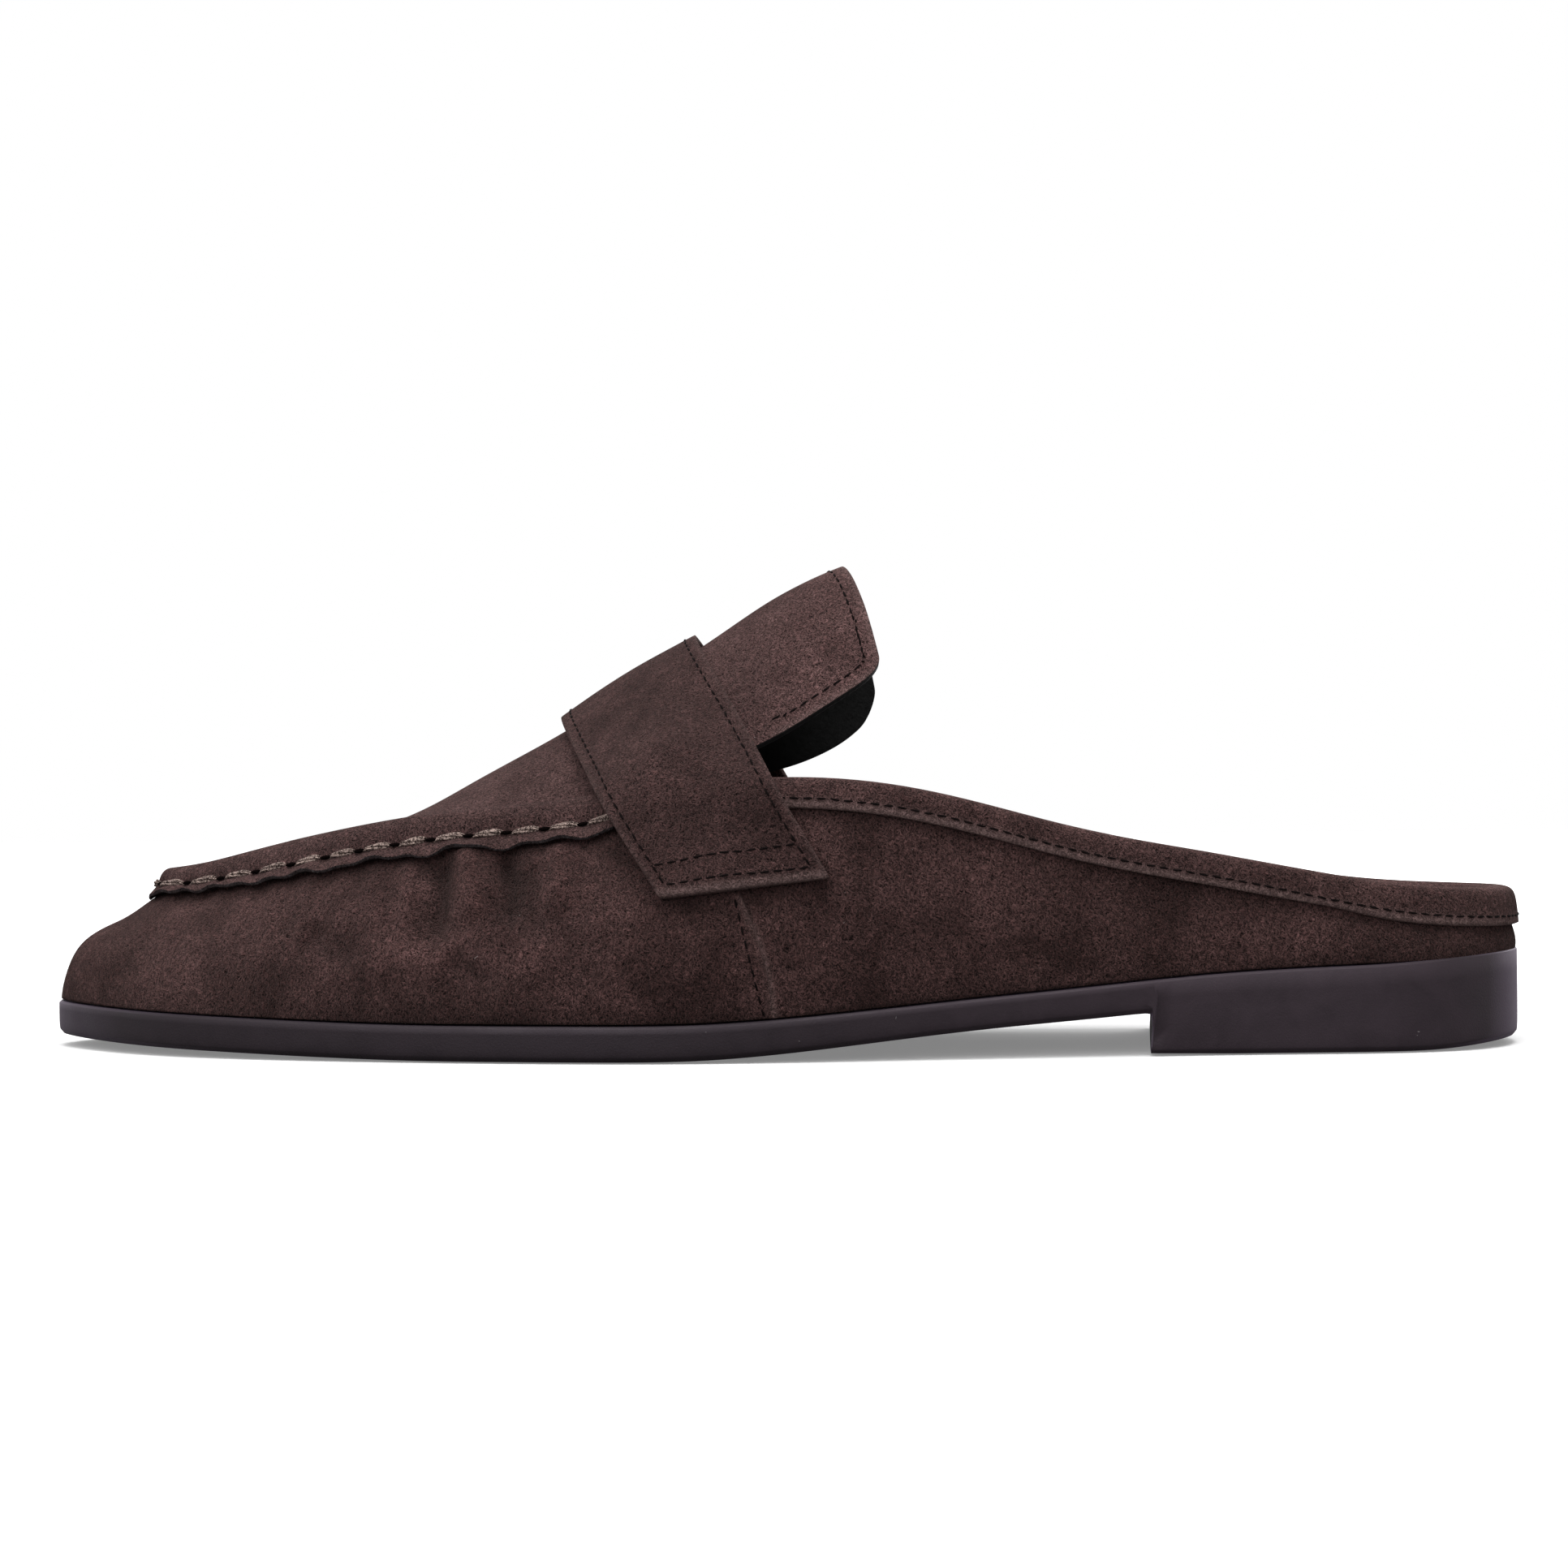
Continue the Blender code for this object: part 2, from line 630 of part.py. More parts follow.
def saddle_line(saddle, across):
    """Place on a line across the strap, in the middle plane of the shoe."""
    slope = math.radians(saddle.slope)
    reach = STRAP_WIDTH * (across - 0.5)
    return Vector((along(saddle.share) + reach * math.cos(slope), 0,
                   CREST_HEIGHT * saddle.height + reach * math.sin(slope)))


def taut_line(reaches, count):
    """Even points, as sides and rises, on a line drawn tight over reaches half a turn round."""
    spots = []
    for turn, reach in zip(HALF_TURN, reaches):
        if reach > 0:
            spots.append((-reach * math.cos(turn), reach * math.sin(turn)))
    line = []
    for spot in spots:
        while len(line) > 1:
            (ax, ay), (bx, by) = line[-2:]
            if (bx - ax) * (spot[1] - ay) - (by - ay) * (spot[0] - ax) < 0:
                break
            line.pop()
        line.append(spot)
    sides, rises = np.array(line).T
    lengths = np.append(0, np.cumsum(np.hypot(np.diff(sides), np.diff(rises))))
    even = np.linspace(0, lengths[-1], count)
    return np.interp(even, lengths, sides), np.interp(even, lengths, rises)


def girth(across, trees):
    """Reach of a line drawn tight over the pieces under the strap, in one of its planes."""
    start = saddle_line(STRAP_END, across)
    rise = (saddle_line(STRAP_CREST, across) - start).normalized()
    reaches = []
    for turn in HALF_TURN:
        ray = Vector((0, -math.cos(turn), 0)) + rise * math.sin(turn)
        hits = [tree.ray_cast(start + ray * FAR, -ray, FAR)[3] for tree in trees]
        reaches.append(max([FAR - hit for hit in hits if hit is not None], default=0.0))
    sides, rises = taut_line(reaches, 8 * len(HALF_TURN))
    return np.interp(HALF_TURN, np.arctan2(rises, -sides), np.hypot(sides, rises))


def over_neighbours(girths, blend):
    """Girths blended with the rest of a column on either side: a column shorter at both ends."""
    windows = [girths[i:i + 2 * GIRTHS + 1] for i in range(len(girths) - 2 * GIRTHS)]
    return np.array([blend(window, axis=0) for window in windows])


def even_girths(trees):
    """Girths under each column of the strap, evened out so that it bridges bumps and steps."""
    margin = 3 * GIRTHS
    count = STRAP_COLUMNS * GIRTHS
    measured = np.array([girth(i / count, trees) for i in range(-margin, count + margin + 1)])
    level = over_neighbours(measured, np.mean)
    bumps = measured[GIRTHS:-GIRTHS] - level
    bridged = level[GIRTHS:-GIRTHS] + over_neighbours(bumps, np.max)
    return over_neighbours(bridged, np.mean)[::GIRTHS]


def make_strap(suede, pieces_below):
    depsgraph = bpy.context.evaluated_depsgraph_get()
    trees = [BVHTree.FromObject(piece, depsgraph) for piece in pieces_below]
    points = []
    for column, reaches in enumerate(even_girths(trees)):
        across = column / STRAP_COLUMNS
        start = saddle_line(STRAP_END, across)
        rise = (saddle_line(STRAP_CREST, across) - start).normalized()
        swell = STRAP_LIFT * math.sin(math.pi * across) * np.sin(HALF_TURN)**2
        for side, height in zip(*taut_line(reaches + STRAP_SLACK + swell, STRAP_ROWS + 1)):
            points.append(start + Vector((0, side, 0)) + rise * height)
    faces = loft_faces(STRAP_COLUMNS + 1, STRAP_ROWS + 1, wrap_size=False)
    piece = add_piece("strap", points, faces, suede, closed=False)
    turn_up(piece)
    thicken(piece, STRAP, outwards=True)
    return piece


def settle(pieces):
    """Move the shoe so that the origin is under the middle of its box, on the floor."""
    bpy.context.view_layer.update()
    depsgraph = bpy.context.evaluated_depsgraph_get()
    corners = []
    for piece in pieces:
        mesh = piece.evaluated_get(depsgraph).to_mesh()
        corners += [vertex.co.copy() for vertex in mesh.vertices]
    low = [min(corner[axis] for corner in corners) for axis in range(3)]
    high = [max(corner[axis] for corner in corners) for axis in range(3)]
    shift = Vector((-(low[0] + high[0]) / 2, -(low[1] + high[1]) / 2, -low[2]))
    for piece in pieces:
        for vertex in piece.data.vertices:
            vertex.co += shift


for old in list(bpy.data.objects):
    bpy.data.objects.remove(old)
shoe = bpy.data.collections.new("loafer_mule")
bpy.context.scene.collection.children.link(shoe)

suede_colour = (0.045, 0.026, 0.022)
outsole = make_outsole()
insole = make_insole()
upper = make_upper(material("upper_suede", suede_colour, 0.9))
apron = make_apron(material("apron_suede", suede_colour, 0.9))
binding = make_binding(material("binding_suede", suede_colour, 0.9))
bpy.context.view_layer.update()
strap = make_strap(material("strap_suede", suede_colour, 0.9), (upper, apron, binding))
settle((outsole, insole, upper, apron, binding, strap))
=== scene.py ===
# %% [markdown]
# # A suede loafer mule
# A mule is a loafer without a back: a slipper upper with a low collar, a long tongue and a strap
# across the instep, closed to a thin rubber sole with a low heel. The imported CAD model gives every
# piece its true size and place. This script makes copies of its pieces, rounds them as leather
# rounds, sews them, and gives each surface the finish of the real one. Lengths are in metres.

import math
import random

import bmesh
import bpy
import numpy as np
from mathutils import Euler, Matrix, Vector
from mathutils.bvhtree import BVHTree
from mathutils.kdtree import KDTree


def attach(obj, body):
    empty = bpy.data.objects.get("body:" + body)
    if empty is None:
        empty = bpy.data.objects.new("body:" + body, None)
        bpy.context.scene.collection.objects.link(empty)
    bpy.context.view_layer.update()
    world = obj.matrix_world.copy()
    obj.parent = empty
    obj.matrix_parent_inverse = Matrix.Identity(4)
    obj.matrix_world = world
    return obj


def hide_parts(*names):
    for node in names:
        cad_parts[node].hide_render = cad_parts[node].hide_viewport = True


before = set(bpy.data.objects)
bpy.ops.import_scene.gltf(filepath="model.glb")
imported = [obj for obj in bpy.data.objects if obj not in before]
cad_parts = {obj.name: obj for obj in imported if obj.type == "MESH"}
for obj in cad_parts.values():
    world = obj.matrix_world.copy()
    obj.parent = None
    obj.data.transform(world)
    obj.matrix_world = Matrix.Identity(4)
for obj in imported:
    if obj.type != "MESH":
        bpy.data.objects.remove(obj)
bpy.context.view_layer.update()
MM = 0.001

# %% [markdown]
# ## A clean copy of a CAD piece
# A CAD piece arrives as loose triangles. It could be dressed as it is, but loose triangles can't be
# rounded: they would part at every edge. So each piece is duplicated, its corners are merged, and
# its triangles are joined back into the four-sided faces that a subdivision surface likes.

# %% Copying and rounding
WELD = 1e-6
SAME_FACE = math.radians(60)
SHARP = math.radians(40)


def pick(*pieces):
    """Selects these pieces only, the first one active."""
    bpy.ops.object.select_all(action="DESELECT")
    for piece in pieces:
        piece.select_set(True)
    bpy.context.view_layer.objects.active = pieces[0]


def welded_copy(node):
    """A copy of a CAD piece with its corners merged and its triangles paired."""
    pick(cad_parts[node])
    bpy.ops.object.duplicate()
    piece = bpy.context.active_object
    piece.name = piece.data.name = node + "_dressed"
    for key in list(piece.keys()):
        del piece[key]
    piece.parent = None
    piece.data.materials.clear()
    bpy.ops.mesh.customdata_custom_splitnormals_clear()
    bpy.ops.object.mode_set(mode="EDIT")
    bpy.ops.mesh.select_all(action="SELECT")
    bpy.ops.mesh.remove_doubles(threshold=WELD)
    bpy.ops.mesh.tris_convert_to_quads(face_threshold=SAME_FACE, shape_threshold=SAME_FACE)
    bpy.ops.object.mode_set(mode="OBJECT")
    return piece


def hold_edges(piece, hold, sharpness=SHARP):
    """Creases the edges sharper than this, so that rounding keeps them tight."""
    pick(piece)
    bpy.ops.object.mode_set(mode="EDIT")
    bpy.ops.mesh.select_mode(type="EDGE")
    bpy.ops.mesh.select_all(action="DESELECT")
    bpy.ops.mesh.edges_select_sharp(sharpness=sharpness)
    bpy.ops.transform.edge_crease(value=hold)
    bpy.ops.object.mode_set(mode="OBJECT")


def round_off(piece, levels):
    """Rounds a piece by subdivision and keeps the result as its mesh."""
    pick(piece)
    rounding = piece.modifiers.new("rounding", "SUBSURF")
    rounding.levels = rounding.render_levels = levels
    bpy.ops.object.modifier_apply(modifier=rounding.name)
    bpy.ops.object.shade_smooth()
    print(piece.name, "has", len(piece.data.polygons), "faces")


# %% [markdown]
# ## Finding edges and following them
# Seams and rows of stitches follow the edges of the leather, so the script has to find those edges
# in the mesh. Each is a run of joined mesh edges. They could be typed in as points, but read from
# the piece itself they stay right when its shape changes.

# %% Runs of edges
AXIS_HEIGHT = 0.014
AXIS_ENDS = (-0.104, 0.104)


def outward(point):
    """The direction from the shoe's middle line to a point."""
    middle_x = min(max(point.x, AXIS_ENDS[0]), AXIS_ENDS[1])
    return (point - Vector((middle_x, 0, AXIS_HEIGHT))).normalized()


def facing_out(face):
    """How far a face looks away from the inside of the shoe, from -1 to 1."""
    return face.normal.dot(outward(face.calc_center_median()))


def runs_of(piece, wanted):
    """Ordered runs of corner points along the edges that pass a test, the longest first."""
    shape = bmesh.new()
    shape.from_mesh(piece.data)
    around = {}
    for edge in shape.edges:
        if wanted(edge):
            for corner in edge.verts:
                around.setdefault(corner, []).append(edge)
    used, runs = set(), []
    ends_first = sorted(around, key=lambda corner: (len(around[corner]) == 2, corner.index))
    for start in ends_first:
        for first in around[start]:
            edge, run = first, [start]
            while edge is not None and edge not in used:
                used.add(edge)
                run.append(edge.other_vert(run[-1]))
                onward = [near for near in around[run[-1]] if near not in used]
                edge = onward[0] if len(around[run[-1]]) == 2 and onward else None
            if len(run) > 1:
                runs.append([corner.co.copy() for corner in run])
    shape.free()
    return sorted(runs, key=len, reverse=True)


def travelled(run):
    """The distance travelled along a run at each of its points."""
    steps = np.linalg.norm(np.diff(np.array(run), axis=0), axis=1)
    return np.concatenate([[0.0], np.cumsum(steps)])


def points_at(run, distances):
    """Points on a run at these distances along it."""
    run, reach = np.array(run), travelled(run)
    columns = [np.interp(distances, reach, run[:, axis]) for axis in range(3)]
    return [Vector(point) for point in np.column_stack(columns)]


# %% [markdown]
# ## Soft transitions
# Almost every move and every painted patch on this shoe begins and ends softly, because leather has
# no steps. Two small curves do all of it: one climbs from nothing to all, the other is a bell.

# %% Fade and bell


def fade(value, edge):
    """Nothing at 0, all at the edge, and smooth in between."""
    share = max(0.0, min(1.0, value / edge))
    return share * share * (3 - 2 * share)


def bell(value, width):
    """All at 0, and falling off to both sides within about twice the width."""
    return math.exp(-((value / width) ** 2))


# %% [markdown]
# ## Shader building blocks
# Suede, lining, rubber and thread share a few effects: fibres lying in all directions, patches where
# the nap was brushed another way, and specks of lint. Each effect is one shader node group, built
# once, with named inputs, so that each material sets its own size and strength. Small helpers add
# a node, set its values and link its inputs in one line.

# %% Nodes


def feed(tree, socket, value):
    """Links a value that comes from another node, or sets a plain one."""
    if isinstance(value, bpy.types.NodeSocket):
        tree.links.new(value, socket)
    else:
        socket.default_value = value


def node(tree, kind, inputs=None, **settings):
    """Adds a shader node, with its inputs set to values or linked from sockets."""
    made = tree.nodes.new("ShaderNode" + kind)
    for setting, value in settings.items():
        setattr(made, setting, value)
    for socket, value in (inputs or {}).items():
        feed(tree, made.inputs[socket], value)
    return made


def maths(tree, operation, first, second):
    """The sum, product or other result of two values."""
    return node(tree, "Math", {0: first, 1: second}, operation=operation).outputs[0]


def scaled(tree, vector, scale):
    """A vector or a colour times a value."""
    return node(tree, "VectorMath", {0: vector, "Scale": scale}, operation="SCALE").outputs[0]


def mixed(tree, factor, first, second):
    """One colour laid over another as far as a factor says."""
    made = node(tree, "Mix", data_type="RGBA")
    for index, value in ((0, factor), (6, first), (7, second)):
        feed(tree, made.inputs[index], value)
    return made.outputs[2]


def stretched(tree, value, low, high, to_low=0.0, to_high=1.0):
    """A value between low and high spread over a new range."""
    ends = {"From Min": low, "From Max": high, "To Min": to_low, "To Max": to_high}
    return node(tree, "MapRange", {"Value": value, **ends}).outputs[0]


def lengthened(tree, vector, turn, size):
    """Coordinates turned and stretched, so that a pattern on them lies one way."""
    inputs = {"Vector": vector, "Rotation": Euler(turn), "Scale": size}
    return node(tree, "Mapping", inputs, vector_type="TEXTURE").outputs[0]


def bumped(tree, height, strength, distance):
    """The surface's normal, tilted by a height."""
    inputs = {"Height": height, "Strength": strength, "Distance": distance}
    return node(tree, "Bump", inputs).outputs[0]


# %% [markdown]
# A node group has sockets of its own. All the groups here take the object's coordinates, count them
# in millimetres, and put out one value from 0 to 1, so the same three helpers build and place them.

# %% Node groups


def new_group(name, output, **inputs):
    """An empty shader node group that takes coordinates and these numbers."""
    group = bpy.data.node_groups.new(name, "ShaderNodeTree")
    group.interface.new_socket("Vector", in_out="INPUT", socket_type="NodeSocketVector")
    for socket, value in inputs.items():
        made = group.interface.new_socket(socket, in_out="INPUT", socket_type="NodeSocketFloat")
        made.default_value = value
    group.interface.new_socket(output, in_out="OUTPUT", socket_type="NodeSocketFloat")
    given = group.nodes.new("NodeGroupInput").outputs
    return group, given, group.nodes.new("NodeGroupOutput").inputs[output]


def use_group(tree, group, place, **inputs):
    """Places a node group in a material and gives back what it puts out."""
    made = tree.nodes.new("ShaderNodeGroup")
    made.node_tree = group
    tree.links.new(place, made.inputs["Vector"])
    for socket, value in inputs.items():
        feed(tree, made.inputs[socket], value)
    return made.outputs[0]


def in_millimetres(tree, vector):
    """Object coordinates counted in millimetres, so that a scale of 1 is 1 mm."""
    return scaled(tree, vector, 1 / MM)


# %% [markdown]
# ## The nap
# Suede is the split side of a hide, sanded until its fibres stand up: short hairs about a
# millimetre long, curling every way. Each lay of fibres is a noise stretched along one direction,
# after the coordinates have been curled by a slower noise. The strongest of four lays shows.

# %% Nap group
LAYS = ((0.0, 0.5, 0.3), (0.4, -1.1, 0.9), (1.3, 0.2, -0.7), (0.9, 1.4, 2.1))
MIDDLE_GREY = (0.5, 0.5, 0.5)
FIBRE_LOW, FIBRE_HIGH = 0.55, 0.77


def build_nap():
    """The group that draws fibres, with their length and width in millimetres."""
    group, given, result = new_group("nap fibres", "Fibre", Length=1.0, Width=0.15, Curl=0.8)
    place = in_millimetres(group, given["Vector"])
    drift = node(group, "TexNoise", {"Vector": place, "Scale": 0.8, "Detail": 1.0}).outputs["Color"]
    drift = node(group, "VectorMath", {0: drift, 1: MIDDLE_GREY}, operation="SUBTRACT").outputs[0]
    drift = scaled(group, drift, given["Curl"])
    curled = node(group, "VectorMath", {0: place, 1: drift}, operation="ADD").outputs[0]
    sides = {0: given["Length"], 1: given["Width"], 2: given["Width"]}
    size = node(group, "CombineXYZ", sides).outputs[0]
    strongest = None
    for lay in LAYS:
        turned = lengthened(group, curled, lay, size)
        streak = node(group, "TexNoise", {"Vector": turned, "Scale": 1.0, "Detail": 0.0}).outputs[0]
        strongest = maths(group, "MAXIMUM", strongest, streak) if strongest else streak
    group.links.new(stretched(group, strongest, FIBRE_LOW, FIBRE_HIGH), result)
    return group


NAP = build_nap()
print("nap of", len(LAYS), "lays,", len(NAP.nodes), "nodes")

# %% [markdown]
# ## Brushed patches and lint
# A finger drawn over suede lays the nap down and leaves a lighter or darker patch, one to two
# centimetres wide with soft edges. Lint is rarer: single pale hairs and specks that cling to the
# nap. The patches are one slow noise, and the lint is a grid of random cells of which only a few
# show a speck.

# %% Patch and lint groups
PATCH_LOW, PATCH_HIGH = 0.34, 0.66
LINT_LIE = (0.3, 0.8, 0.5)
LINT_BEND = 2.5


def build_patches():
    """The group that shades the nap in soft patches of about this size in millimetres."""
    group, given, result = new_group("brushed patches", "Shade", Size=12.0)
    place = in_millimetres(group, given["Vector"])
    finer = maths(group, "DIVIDE", 1.0, given["Size"])
    noise = {"Vector": place, "Scale": finer, "Detail": 3.0, "Roughness": 0.58, "Distortion": 0.5}
    patch = node(group, "TexNoise", noise).outputs[0]
    group.links.new(stretched(group, patch, PATCH_LOW, PATCH_HIGH), result)
    return group


def build_lint():
    """The group that strews specks: a share of the cells at this spacing holds one."""
    numbers = {"Spacing": 4.0, "Speck": 0.03, "Share": 0.4, "Length": 3.0}
    group, given, result = new_group("lint", "Mask", **numbers)
    place = in_millimetres(group, given["Vector"])
    drift = node(group, "TexNoise", {"Vector": place, "Scale": 0.7, "Detail": 0.0}).outputs["Color"]
    bent = {0: place, 1: scaled(group, drift, LINT_BEND)}
    bent = node(group, "VectorMath", bent, operation="ADD").outputs[0]
    long_cell = node(group, "CombineXYZ", {0: given["Length"], 1: 1.0, 2: 1.0}).outputs[0]
    turned = lengthened(group, bent, LINT_LIE, long_cell)
    finer = maths(group, "DIVIDE", 1.0, given["Spacing"])
    cell = node(group, "TexVoronoi", {"Vector": turned, "Scale": finer, "Randomness": 1.0})
    near = maths(group, "LESS_THAN", cell.outputs["Distance"], given["Speck"])
    dice = node(group, "SeparateColor", {0: cell.outputs["Color"]}).outputs[0]
    chosen = maths(group, "LESS_THAN", dice, given["Share"])
    group.links.new(maths(group, "MULTIPLY", near, chosen), result)
    return group


PATCHES = build_patches()
LINT = build_lint()
print("groups:", [group.name for group in (NAP, PATCHES, LINT)])

# %% [markdown]
# ## Suede
# The same dyed hide covers the whole shoe, and raw edges show the undyed core. One function makes
# the suede, and each piece passes its own two shades, which carry painted light: the apron, the
# tongue and the binding are painted paler, as lit from above, and the strap is painted darker. Two
# attributes, painted later, change the colour: "rubbed" brings the pale fuzz of a cut edge, and the
# other carries painted light, from painted shade at -1 to a painted highlight at 1. Sheen stands
# for the hairs that catch light when the surface is seen at a slant. The cut edge of the seam's
# flange is the same suede in two greys.

# %% Suede material
COARSE_NAP = {"Length": 1.05, "Width": 0.27, "Curl": 1.3}
FINE_NAP = {"Length": 0.6, "Width": 0.15, "Curl": 0.8}
LINT_HAIRS = {"Spacing": 4.6, "Speck": 0.022, "Share": 0.35, "Length": 3.0}
SUEDE_DUST = {"Spacing": 3.0, "Speck": 0.030, "Share": 0.25, "Length": 1.0}
FUZZ_COLOUR = (0.29, 0.195, 0.185, 1.0)
LINT_COLOUR = (0.52, 0.46, 0.44, 1.0)
FLECK_SIZE, FLECK_SHARE = 1.7, 0.45
COARSE_DEPTH, FINE_DEPTH = (0.04, 1.66), (0.02, 1.30)
# How far painted shade darkens the suede, and how far a painted highlight lightens it.
PAINTED_SHADE, PAINTED_HIGHLIGHT = 0.36, 1.64


def new_material(name):
    """A new material with its shader, and the object's coordinates for its patterns."""
    material = bpy.data.materials.new(name)
    material.use_nodes = True
    tree = material.node_tree
    return material, tree, tree.nodes["Principled BSDF"], node(tree, "TexCoord").outputs["Object"]


def dress(tree, shader, **sockets):
    """Feeds the sockets of a shader; an underscore in a name stands for a space."""
    for name, value in sockets.items():
        feed(tree, shader.inputs[name.replace("_", " ")], value)


def shade_of(colour, factor):
    """A darker or lighter shade of a colour."""
    return tuple(channel * factor for channel in colour[:3]) + (1.0,)


def suede(name, deep, pale, patch=12.0):
    """Napped suede between a deep and a pale shade, brushed in patches of this size."""
    material, tree, shader, place = new_material(name)
    fibre = use_group(tree, NAP, place, **COARSE_NAP)
    fine = use_group(tree, NAP, place, **FINE_NAP)
    shade = use_group(tree, PATCHES, place, Size=patch)
    flecks = use_group(tree, PATCHES, place, Size=FLECK_SIZE)
    hairs = use_group(tree, LINT, place, **LINT_HAIRS)
    dust = use_group(tree, LINT, place, **SUEDE_DUST)
    rubbed = node(tree, "Attribute", attribute_name="rubbed").outputs["Fac"]
    # This attribute carries painted light: painted shade in troughs, above the sole and inside the
    # collar, and painted highlights on ridges, the tongue and the collar's crest.
    painted_light = node(tree, "Attribute", attribute_name="painted_light").outputs["Fac"]

    tone = mixed(tree, shade, deep, pale)
    tone = mixed(tree, stretched(tree, flecks, 0, 1, 0, FLECK_SHARE), tone, shade_of(deep, 0.8))
    coarse_depth = stretched(tree, fibre, 0, 1, *COARSE_DEPTH)
    fine_depth = stretched(tree, fine, 0, 1, *FINE_DEPTH)
    # Painted shade and painted highlight darken or lighten the nap's colour.
    light_and_shade = stretched(tree, painted_light, -1, 1, PAINTED_SHADE, PAINTED_HIGHLIGHT)
    depth = maths(tree, "MULTIPLY", maths(tree, "ADD", coarse_depth, fine_depth), light_and_shade)
    frayed = maths(tree, "MULTIPLY", rubbed, stretched(tree, fibre, 0, 1, 0.35, 1.0))
    tone = mixed(tree, frayed, scaled(tree, tone, depth), FUZZ_COLOUR)
    specks = maths(tree, "MAXIMUM", hairs, dust)
    tone = mixed(tree, stretched(tree, specks, 0, 1, 0.0, 0.5), tone, LINT_COLOUR)

    pile = maths(tree, "ADD", maths(tree, "ADD", fibre, fine), shade)
    normal = bumped(tree, pile, strength=0.9, distance=0.00026)
    dress(tree, shader, Base_Color=tone, Normal=normal, Roughness=1.0, Specular_IOR_Level=0.04)
    dress(tree, shader, Sheen_Weight=0.10, Sheen_Roughness=0.5, Sheen_Tint=(1.0, 0.72, 0.68, 1.0))
    return material


# Each piece's two shades carry painted light: paler on the apron, tongue and binding, as lit from
# above, and darker on the strap.
VAMP_SUEDE = suede("vamp_suede", (0.0275, 0.0132, 0.0125, 1), (0.081, 0.0420, 0.0402, 1))
APRON_SUEDE = suede("apron_suede", (0.041, 0.0212, 0.0205, 1), (0.084, 0.0462, 0.0445, 1))
STRAP_SUEDE = suede("strap_suede", (0.025, 0.0124, 0.0119, 1), (0.060, 0.0312, 0.0300, 1), 9.0)
BINDING_SUEDE = suede("binding_suede", (0.043, 0.0215, 0.0206, 1), (0.082, 0.0440, 0.0420, 1), 8.0)
CUT_EDGE = suede("cut_edge", (0.018, 0.0155, 0.017, 1), (0.050, 0.044, 0.047, 1), 1.6)
print("one suede has", len(VAMP_SUEDE.node_tree.nodes), "nodes")

# %% [markdown]
# ## Lining, rubber and thread
# The lining is thin smooth black leather, almost lost in the shade. The sole is moulded rubber with
# a satin skin and a little dust. Light is painted into its colour: painted shade makes the forepart
# darker than the heel, and a pale painted reflection shows where it is seen at a slant. The seam
# thread is waxed linen, pale beige, with painted shade in the gaps between its strands; the machine
# thread is nearly black.

# %% Plain materials
RUBBER_DUST = {"Spacing": 2.8, "Speck": 0.035, "Share": 0.30, "Length": 2.2}
DUST_COLOUR = (0.45, 0.42, 0.42, 1.0)
FOREPART_END, HEEL_START = 0.0, 0.06
# Painted shade along the sole: the forepart darker than the heel.
FOREPART_PAINTED_LIGHT, HEEL_PAINTED_LIGHT = 0.5, 1.05
# Where the painted reflection starts to show on rubber seen at a slant.
REFLECTION_FROM = 0.42


def smooth_leather(name, colour):
    """Thin smooth leather with a fine grain."""
    material, tree, shader, place = new_material(name)
    grain = use_group(tree, PATCHES, place, Size=0.8)
    tone = mixed(tree, grain, shade_of(colour, 0.8), shade_of(colour, 1.3))
    normal = bumped(tree, grain, strength=0.35, distance=0.00008)
    gloss = stretched(tree, grain, 0, 1, 0.42, 0.58)
    dress(tree, shader, Base_Color=tone, Normal=normal, Roughness=gloss)
    return material


def satin_rubber(name, colour, slant_reflection):
    """Satin black rubber, with painted shade in the forepart and a pale painted reflection where it
    is seen at a slant.
    """
    material, tree, shader, place = new_material(name)
    cloud = use_group(tree, PATCHES, place, Size=6.0)
    fine = use_group(tree, PATCHES, place, Size=0.35)
    dust = use_group(tree, LINT, place, **RUBBER_DUST)
    tone = mixed(tree, cloud, shade_of(colour, 0.86), shade_of(colour, 1.14))
    tone = mixed(tree, stretched(tree, dust, 0, 1, 0.0, 0.5), tone, DUST_COLOUR)
    # Painted reflection: the rubber turns pale where it is seen at a slant.
    slant = node(tree, "LayerWeight", {"Blend": 0.5}).outputs["Facing"]
    tone = mixed(tree, stretched(tree, slant, REFLECTION_FROM, 1.0), tone, slant_reflection)
    # Painted shade: the forepart is darker than the heel.
    along = node(tree, "SeparateXYZ", {0: place}).outputs["X"]
    depth = stretched(tree, along, FOREPART_END, HEEL_START, FOREPART_PAINTED_LIGHT, HEEL_PAINTED_LIGHT)
    normal = bumped(tree, fine, strength=0.25, distance=0.00005)
    gloss = stretched(tree, cloud, 0, 1, 0.46, 0.58)
    dress(tree, shader, Base_Color=scaled(tree, tone, depth), Normal=normal, Roughness=gloss)
    dress(tree, shader, Specular_IOR_Level=0.30, Specular_Tint=(1.0, 0.86, 0.97, 1.0))
    return material


def spun_thread(name, deep, pale, strand=0.16, gloss=0.25):
    """Thread of strands this wide in millimetres, with painted shade deep in the gaps between them.
    """
    material, tree, shader, place = new_material(name)
    strands = use_group(tree, NAP, place, Length=2.2, Width=strand, Curl=0.25)
    # Painted shade: the deep colour fills the gaps between the strands.
    tone = mixed(tree, strands, deep, pale)
    normal = bumped(tree, strands, strength=0.8, distance=0.00012)
    dress(tree, shader, Base_Color=tone, Normal=normal, Roughness=0.75, Specular_IOR_Level=gloss)
    return material


